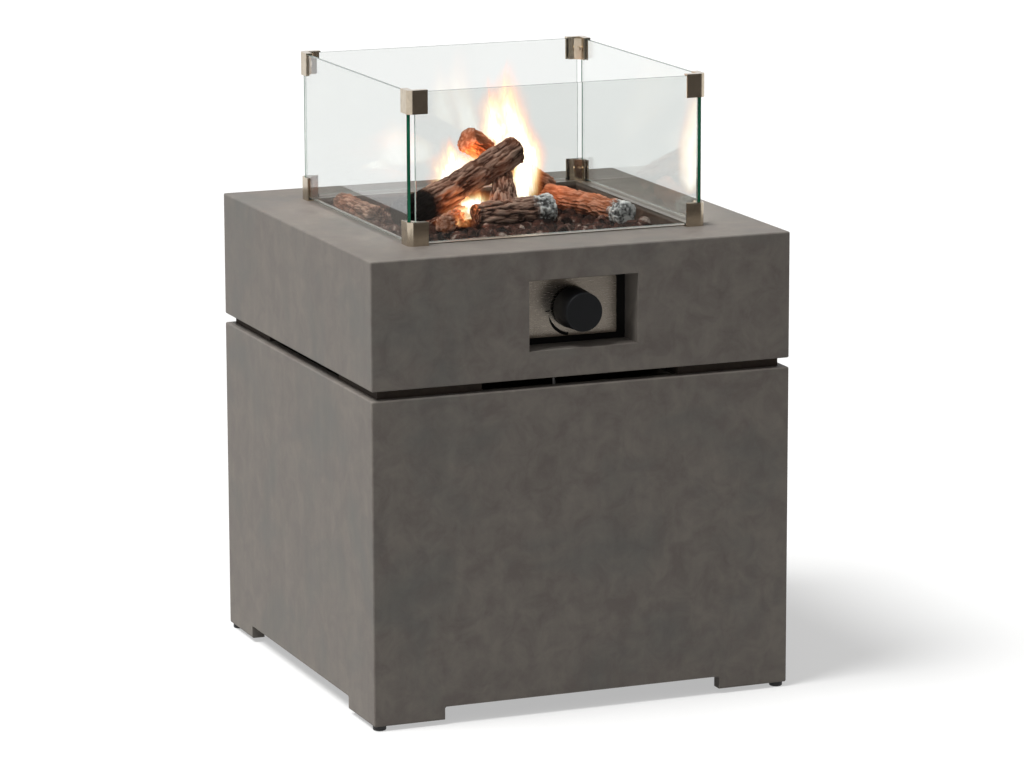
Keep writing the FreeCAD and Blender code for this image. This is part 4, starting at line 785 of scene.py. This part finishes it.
flameSet = {
    "facing": -21.9,    # degrees, towards the camera
    "sheets": 2,
    "rows": 80,
    "columns": 32,
    # shares of the half width, and how fast the sines run
    "ripple": {"share": 0.22, "waves": 17, "step": 2.1},
    "curl": {"share": 0.18, "upward": 4, "across": 2.6},
    "torn": {"cellMm": 12, "octaves": 3, "stretch": 0.4, "least": 0.85, "share": 0.55},
    "side": {"reach": 1.4, "power": 1.5},
    "tip": {"reach": 1.6, "power": 1.2},
    "footReach": 8,
    "flames": {  # each tongue's root in metres, then heights, side shifts and half widths in mm from below
        "flameMain": [
            dict(root=(0.079, 0.105, 0.612), rise=(0, 37, 75, 112, 152, 190, 222),
                 shift=(-2, 0, 1, -12, -27, -26, -20), width=(28, 31, 34, 38, 28, 18, 6), heat=1.0, seed=2),
            dict(root=(0.072, 0.112, 0.630), rise=(0, 40, 80, 125, 165, 200),
                 shift=(6, 8, 4, -6, -10, -6), width=(26, 32, 36, 28, 20, 6), heat=0.8, seed=9),
            dict(root=(0.046, 0.105, 0.690), rise=(0, 30, 60, 90, 120),
                 shift=(0, -8, -12, -16, -20), width=(24, 34, 30, 20, 5), heat=0.75, seed=4),
        ],
        "flameLeft": [
            dict(root=(-0.024, 0.094, 0.645), rise=(0, 22, 42, 64, 84),
                 shift=(0, -2, -6, -12, -14), width=(38, 50, 42, 24, 5), heat=0.95, seed=5),
            dict(root=(0.002, 0.088, 0.650), rise=(0, 18, 36, 56),
                 shift=(0, 0, 2, 4), width=(34, 44, 34, 8), heat=0.9, seed=6),
            dict(root=(-0.008, 0.070, 0.672), rise=(0, 16, 32, 48),
                 shift=(0, -2, -4, -4), width=(20, 30, 26, 8), heat=0.45, seed=18),
        ],
        "flameUnder": [
            dict(root=(-0.030, 0.016, 0.628), rise=(0, 12, 24, 38),
                 shift=(-4, -2, 2, 6), width=(34, 42, 34, 8), heat=0.95, seed=8),
            dict(root=(-0.056, -0.012, 0.624), rise=(0, 10, 20, 32),
                 shift=(0, 0, 2, 4), width=(36, 42, 32, 6), heat=0.62, seed=12),
            dict(root=(-0.082, -0.036, 0.620), rise=(0, 8, 16, 25),
                 shift=(0, 0, 2, 3), width=(32, 36, 26, 5), heat=0.42, seed=15),
        ],
    },
    # the fire's own light on logs and stones: place in metres and power in watts
    "glows": {
        "glowMain": ((0.072, 0.085, 0.690), 0.20),
        "glowLeft": ((-0.026, 0.072, 0.684), 0.70),
        "glowUnder": ((-0.048, -0.020, 0.646), 0.12),
    },
    "glowColour": "#ffa660",
    "glowRadius": 0.012,
}


def smoothCurve(share, values):
    # a smooth line through evenly spaced values: cubic pieces whose slopes are the values' own gradients
    values = np.array(values, float)
    place = share * (len(values) - 1)
    index = np.clip(place.astype(int), 0, len(values) - 2)
    s = place - index
    slope = np.gradient(values)
    ends = values[index] * (2 * s ** 3 - 3 * s ** 2 + 1) + values[index + 1] * (3 * s ** 2 - 2 * s ** 3)
    return ends + slope[index] * (s ** 3 - 2 * s ** 2 + s) + slope[index + 1] * (s ** 3 - s ** 2)


def tongueSheets(tongue):
    # Upright sheets crossing on the tongue's middle line like the points of a star. Each runs a half width to
    # either side, ripples and curls by sines, and its fade falls off smoothly to sides, root and tip.
    rows, columns, sheets = flameSet["rows"], flameSet["columns"], flameSet["sheets"]
    ripple, curl, torn = flameSet["ripple"], flameSet["curl"], flameSet["torn"]
    side, tip = flameSet["side"], flameSet["tip"]
    facing = math.radians(flameSet["facing"])
    seed = tongue["seed"]
    v = np.linspace(0, 1, rows)
    u = np.linspace(-1, 1, columns)[None, :]
    rise, shift, width = (smoothCurve(v, tongue[key])[:, None] * mm for key in ("rise", "shift", "width"))
    v = v[:, None]
    surfaces = []
    for sheet in range(sheets):
        turn = facing + math.pi * sheet / sheets
        swing = 1 + ripple["share"] * np.sin(v * ripple["waves"] + seed + sheet * ripple["step"]) * v
        across = u * width * swing
        bend = curl["share"] * width * np.sin(curl["upward"] * v + curl["across"] * u + seed + sheet)
        x = tongue["root"][0] + shift * math.cos(facing) + across * math.cos(turn) - bend * math.sin(turn)
        y = tongue["root"][1] + shift * math.sin(facing) + across * math.sin(turn) + bend * math.cos(turn)
        z = np.broadcast_to(tongue["root"][2] + rise, x.shape)
        points = np.stack([x, y, z], axis=-1)
        stretched = points * np.array([1, 1, torn["stretch"]])
        noise = layeredNoise(stretched, torn["cellMm"], torn["octaves"], seed + sheet)
        sideFade = np.clip(1 - np.abs(u) ** side["reach"], 0, 1) ** side["power"]
        tipFade = np.clip((1 - v) * tip["reach"], 0, 1) ** tip["power"]
        footFade = np.clip(v * flameSet["footReach"], 0, 1)
        fade = sideFade * tipFade * footFade * (torn["least"] + torn["share"] * noise)
        surfaces.append((points, tongue["heat"] * np.clip(fade, 0, 1)))
    return surfaces


for name, tongues in flameSet["flames"].items():
    vertices, faces, fades = [], [], []
    for tongue in tongues:
        for points, fade in tongueSheets(tongue):
            faces += gridFaces(*fade.shape, start=sum(len(part) for part in vertices))
            vertices.append(points.reshape(-1, 3))
            fades.append(fade.ravel())
    attributes = {"fade": np.concatenate(fades)}
    meshPiece(name, np.concatenate(vertices), faces, "fire_pit", "flame", attributes)
for name, (place, power) in flameSet["glows"].items():
    glowData = bpy.data.lights.new(name, "POINT")
    glowData.color = hexColour(flameSet["glowColour"])[:3]
    glowData.energy = power
    glowData.shadow_soft_size = flameSet["glowRadius"]
    glow = addObject(name, glowData)
    glow.location = place
    glow.visible_camera = False
    glow.visible_glossy = False
    glow.visible_transmission = False
print("flames made:", len(flameSet["flames"]))


# return spring of the gas valve

springSet = {
    "turns": 5, "stepsPerTurn": 36, "around": 10,
    "wire": 0.45 * mm,      # radius
    "travel": 4 * mm,
}


def springPiece():
    # A round wire on a helix about the knob's axis. The wire's round section is swept on the helix's own
    # normal and binormal, and one face closes each end.
    low, high = (np.array(corner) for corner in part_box("return_spring"))
    wire, around, turns = springSet["wire"], springSet["around"], springSet["turns"]
    middle = (low + high) / 2
    coil = (high[0] - low[0]) / 2 - wire
    run = high[1] - low[1] - 2 * wire
    count = turns * springSet["stepsPerTurn"] + 1
    turn = np.linspace(0, 2 * math.pi * turns, count)[:, None]
    slope = np.full_like(turn, run / turn[-1, 0])
    outward = np.concatenate([np.cos(turn), np.zeros_like(turn), np.sin(turn)], axis=1)
    forward = np.concatenate([-np.sin(turn) * coil, slope, np.cos(turn) * coil], axis=1)
    forward /= np.linalg.norm(forward, axis=1, keepdims=True)
    beside = np.cross(forward, outward)
    centre = np.array([middle[0], low[1] + wire, middle[2]]) + outward * coil
    centre[:, 1] += run * turn[:, 0] / turn[-1, 0]
    section = fullTurn(around)[None, :, None]
    rim = np.cos(section) * outward[:, None] + np.sin(section) * beside[:, None]
    points = centre[:, None] + wire * rim
    last = (count - 1) * around
    faces = gridFaces(count, around, closed=True)
    faces += [list(range(around))[::-1], [last + step for step in range(around)]]
    spring = meshPiece("valveReturnSpring", points, faces, "fire_pit", "zinc")
    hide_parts("return_spring")
    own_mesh(spring)


springPiece()
print("spring made")


# print on the fascia

printSet = {
    "level": 0.543, "proud": 0.06 * mm,     # height of the knob's axis in metres, and thickness of the ink
    "angles": [196, 208, 220, 232, 244, 254, 263],
    "innerMm": [33.5, 33.5, 33.6, 33.9, 34.2, 34.5, 34.6],
    "outerMm": [33.7, 35.8, 37.2, 38.0, 38.5, 38.6, 38.4],
    "steps": 60,
    "tickAngle": 186, "tickFromMm": 31.2, "tickToMm": 37.4, "tickThickMm": 1.9, "tickSteps": 6,
}


def printedPiece(name, angle, inner, outer):
    # A thin closed plate on the fascia between two radii that depend on the angle about the knob's axis.
    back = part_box("control_fascia")[0][1]
    front = back - printSet["proud"]
    loops = []
    for radius, y in ((inner, front), (outer, front), (outer, back), (inner, back)):
        z = printSet["level"] + radius * np.sin(angle)
        loops.append(np.stack([radius * np.cos(angle), np.full_like(angle, y), z], axis=-1))
    points = np.stack(loops, axis=1)  # angle, corner, xyz
    count, corners = len(angle), len(loops)
    faces = gridFaces(count, corners, closed=True)
    last = (count - 1) * corners
    faces += [list(range(corners)), [last + corner for corner in reversed(range(corners))]]
    piece = meshPiece(name, points, faces, "fire_pit", "ink", smooth=False)


def printMarks():
    # a crescent between two lists of radii, and a short bar that points at the axis
    angles = printSet["angles"]
    angle = np.radians(np.linspace(angles[0], angles[-1], printSet["steps"]))
    inner, outer = (
        np.interp(np.degrees(angle), angles, printSet[key]) * mm for key in ("innerMm", "outerMm")
    )
    printedPiece("flameScale", angle, inner, outer)
    near, far = printSet["tickFromMm"], printSet["tickToMm"]
    spread = printSet["tickThickMm"] / (near + far)
    angle = math.radians(printSet["tickAngle"]) + np.linspace(-spread, spread, printSet["tickSteps"])
    printedPiece("offMark", angle, np.full_like(angle, near * mm), np.full_like(angle, far * mm))


printMarks()
print("print made")


# camera, floor and light

camera = {
    "azimuth": -21.889, "elevation": 11.707, "roll": -0.18, "place": (-2.325498, -5.831891, 1.689911),
    "focalPixels": 4624.222, "imageWidth": 1024, "sensorMm": 36.0, "clipEnd": 200,
}
azimuth, elevation, roll = (math.radians(camera[key]) for key in ("azimuth", "elevation", "roll"))
reach = math.cos(elevation)
back = Vector((math.sin(azimuth) * reach, -math.cos(azimuth) * reach, math.sin(elevation)))
right = Vector((math.cos(azimuth), math.sin(azimuth), 0))
up = back.cross(right)
rolledRight = right * math.cos(roll) + up * math.sin(roll)
rolledUp = up * math.cos(roll) - right * math.sin(roll)
cameraData = bpy.data.cameras.new("camera")
cameraData.sensor_width = camera["sensorMm"]
cameraData.sensor_fit = "HORIZONTAL"
cameraData.lens = camera["focalPixels"] / camera["imageWidth"] * camera["sensorMm"]
cameraData.clip_end = camera["clipEnd"]
cameraObject = addObject("camera", cameraData)
turned = Matrix((rolledRight, rolledUp, back)).transposed().to_4x4()
cameraObject.matrix_world = Matrix.Translation(camera["place"]) @ turned
scene.camera = cameraObject
print("camera set")

studio = {
    "floorHalf": 60.0, "floorColour": "#aeaead", "floorLift": 0.46, "skyColour": "#ffffff", "skyLevel": 0.38,
    "keyFrom": (-0.46, -0.04, 0.88), "keyLevel": 1.2, "keyAngle": 26.0,
    "cardFrom": (-0.35, -1.9), "cardTo": (2.9, -2.9), "cardHeight": 2.2, "cardLift": 0.01,
    "cardColour": "#77716c",
    "paperGrain": (8, 3, 0.5), "paperShade": [(0.3, 0.9), (0.7, 1.0)], "paperShare": 0.04,
    "cardGrain": (300, 3, 0.5), "cardShade": [(0.3, 0.6), (0.7, 1.0)], "cardShare": 0.2,
}


def stagePlane(name, corners, material):
    mesh = bpy.data.meshes.new(name)
    mesh.from_pydata(corners, [], [[0, 1, 2, 3]])
    mesh.materials.append(material)
    plane = addObject(name, mesh)
    return plane


def seenByCamera(tree):
    # 1 for what the camera sees straight, through glass or mirrored, and 0 for light that reaches matt things
    path = addNode(tree, "LightPath").outputs
    straight = mathOf(tree, "MAXIMUM", path["Is Camera Ray"], path["Is Transmission Ray"])
    return mathOf(tree, "MAXIMUM", straight, path["Is Glossy Ray"])


def paperFloor():
    # seamless white paper: matt, and lifted for the camera so that it runs into the white background
    material, tree, surface = newMaterial("seamlessPaper")
    grain = noiseOf(tree, objectPlace(tree), *studio["paperGrain"])
    shade = rampOf(tree, grain, studio["paperShade"])
    colour = mixOf(tree, studio["paperShare"], studio["floorColour"], shade)
    paper = shaderOf(tree, "BsdfDiffuse", {"Color": colour})
    strength = mathOf(tree, "MULTIPLY", seenByCamera(tree), studio["floorLift"])
    lift = shaderOf(tree, "Emission", {"Strength": strength})
    feed(tree, surface, shaderOf(tree, "AddShader", {0: paper, 1: lift}))
    return material


def greyCard():
    # matt grey card standing off to the right, so that the shaded side, the steel and both skins of the glass
    # mirror something dark; it is clear to what looks straight through a pane
    material, tree, surface = newMaterial("greyCard")
    grain = noiseOf(tree, objectPlace(tree), *studio["cardGrain"])
    shade = rampOf(tree, grain, studio["cardShade"])
    colour = mixOf(tree, studio["cardShare"], studio["cardColour"], shade, "MULTIPLY")
    path = addNode(tree, "LightPath").outputs
    unmirrored = mathOf(tree, "LESS_THAN", path["Glossy Depth"], 0.5)
    straight = mathOf(tree, "MULTIPLY", path["Is Transmission Ray"], unmirrored)
    card = shaderOf(tree, "BsdfDiffuse", {"Color": colour})
    feed(tree, surface, mixShaders(tree, straight, card, shaderOf(tree, "BsdfTransparent")))
    return material


half = studio["floorHalf"]
stagePlane("floor", [(-half, -half, 0), (half, -half, 0), (half, half, 0), (-half, half, 0)], paperFloor())

(x0, y0), (x1, y1) = studio["cardFrom"], studio["cardTo"]
low, high = studio["cardLift"], studio["cardHeight"]
card = stagePlane("card", [(x0, y0, low), (x1, y1, low), (x1, y1, high), (x0, y0, high)], greyCard())
card.visible_camera = False
card.visible_shadow = False

world = bpy.data.worlds.new("studio")
scene.world = world
world.use_nodes = True
tree = world.node_tree
tree.nodes.clear()
worldOutput = addNode(tree, "OutputWorld")
level = mathOf(tree, "MULTIPLY_ADD", seenByCamera(tree), 1.0 - studio["skyLevel"], studio["skyLevel"])
sky = shaderOf(tree, "Background", {"Color": studio["skyColour"], "Strength": level})
feed(tree, worldOutput.inputs["Surface"], sky)

# a large distant softbox: it lights a surface that faces it to keyLevel times the surface's own colour
keyData = bpy.data.lights.new("keyLight", "SUN")
keyData.angle = math.radians(studio["keyAngle"])
keyData.energy = studio["keyLevel"] * math.pi
keyObject = addObject("keyLight", keyData)
keyObject.rotation_euler = Vector(studio["keyFrom"]).to_track_quat("Z", "Y").to_euler()

scene.view_settings.view_transform = "Standard"
print("stage set")
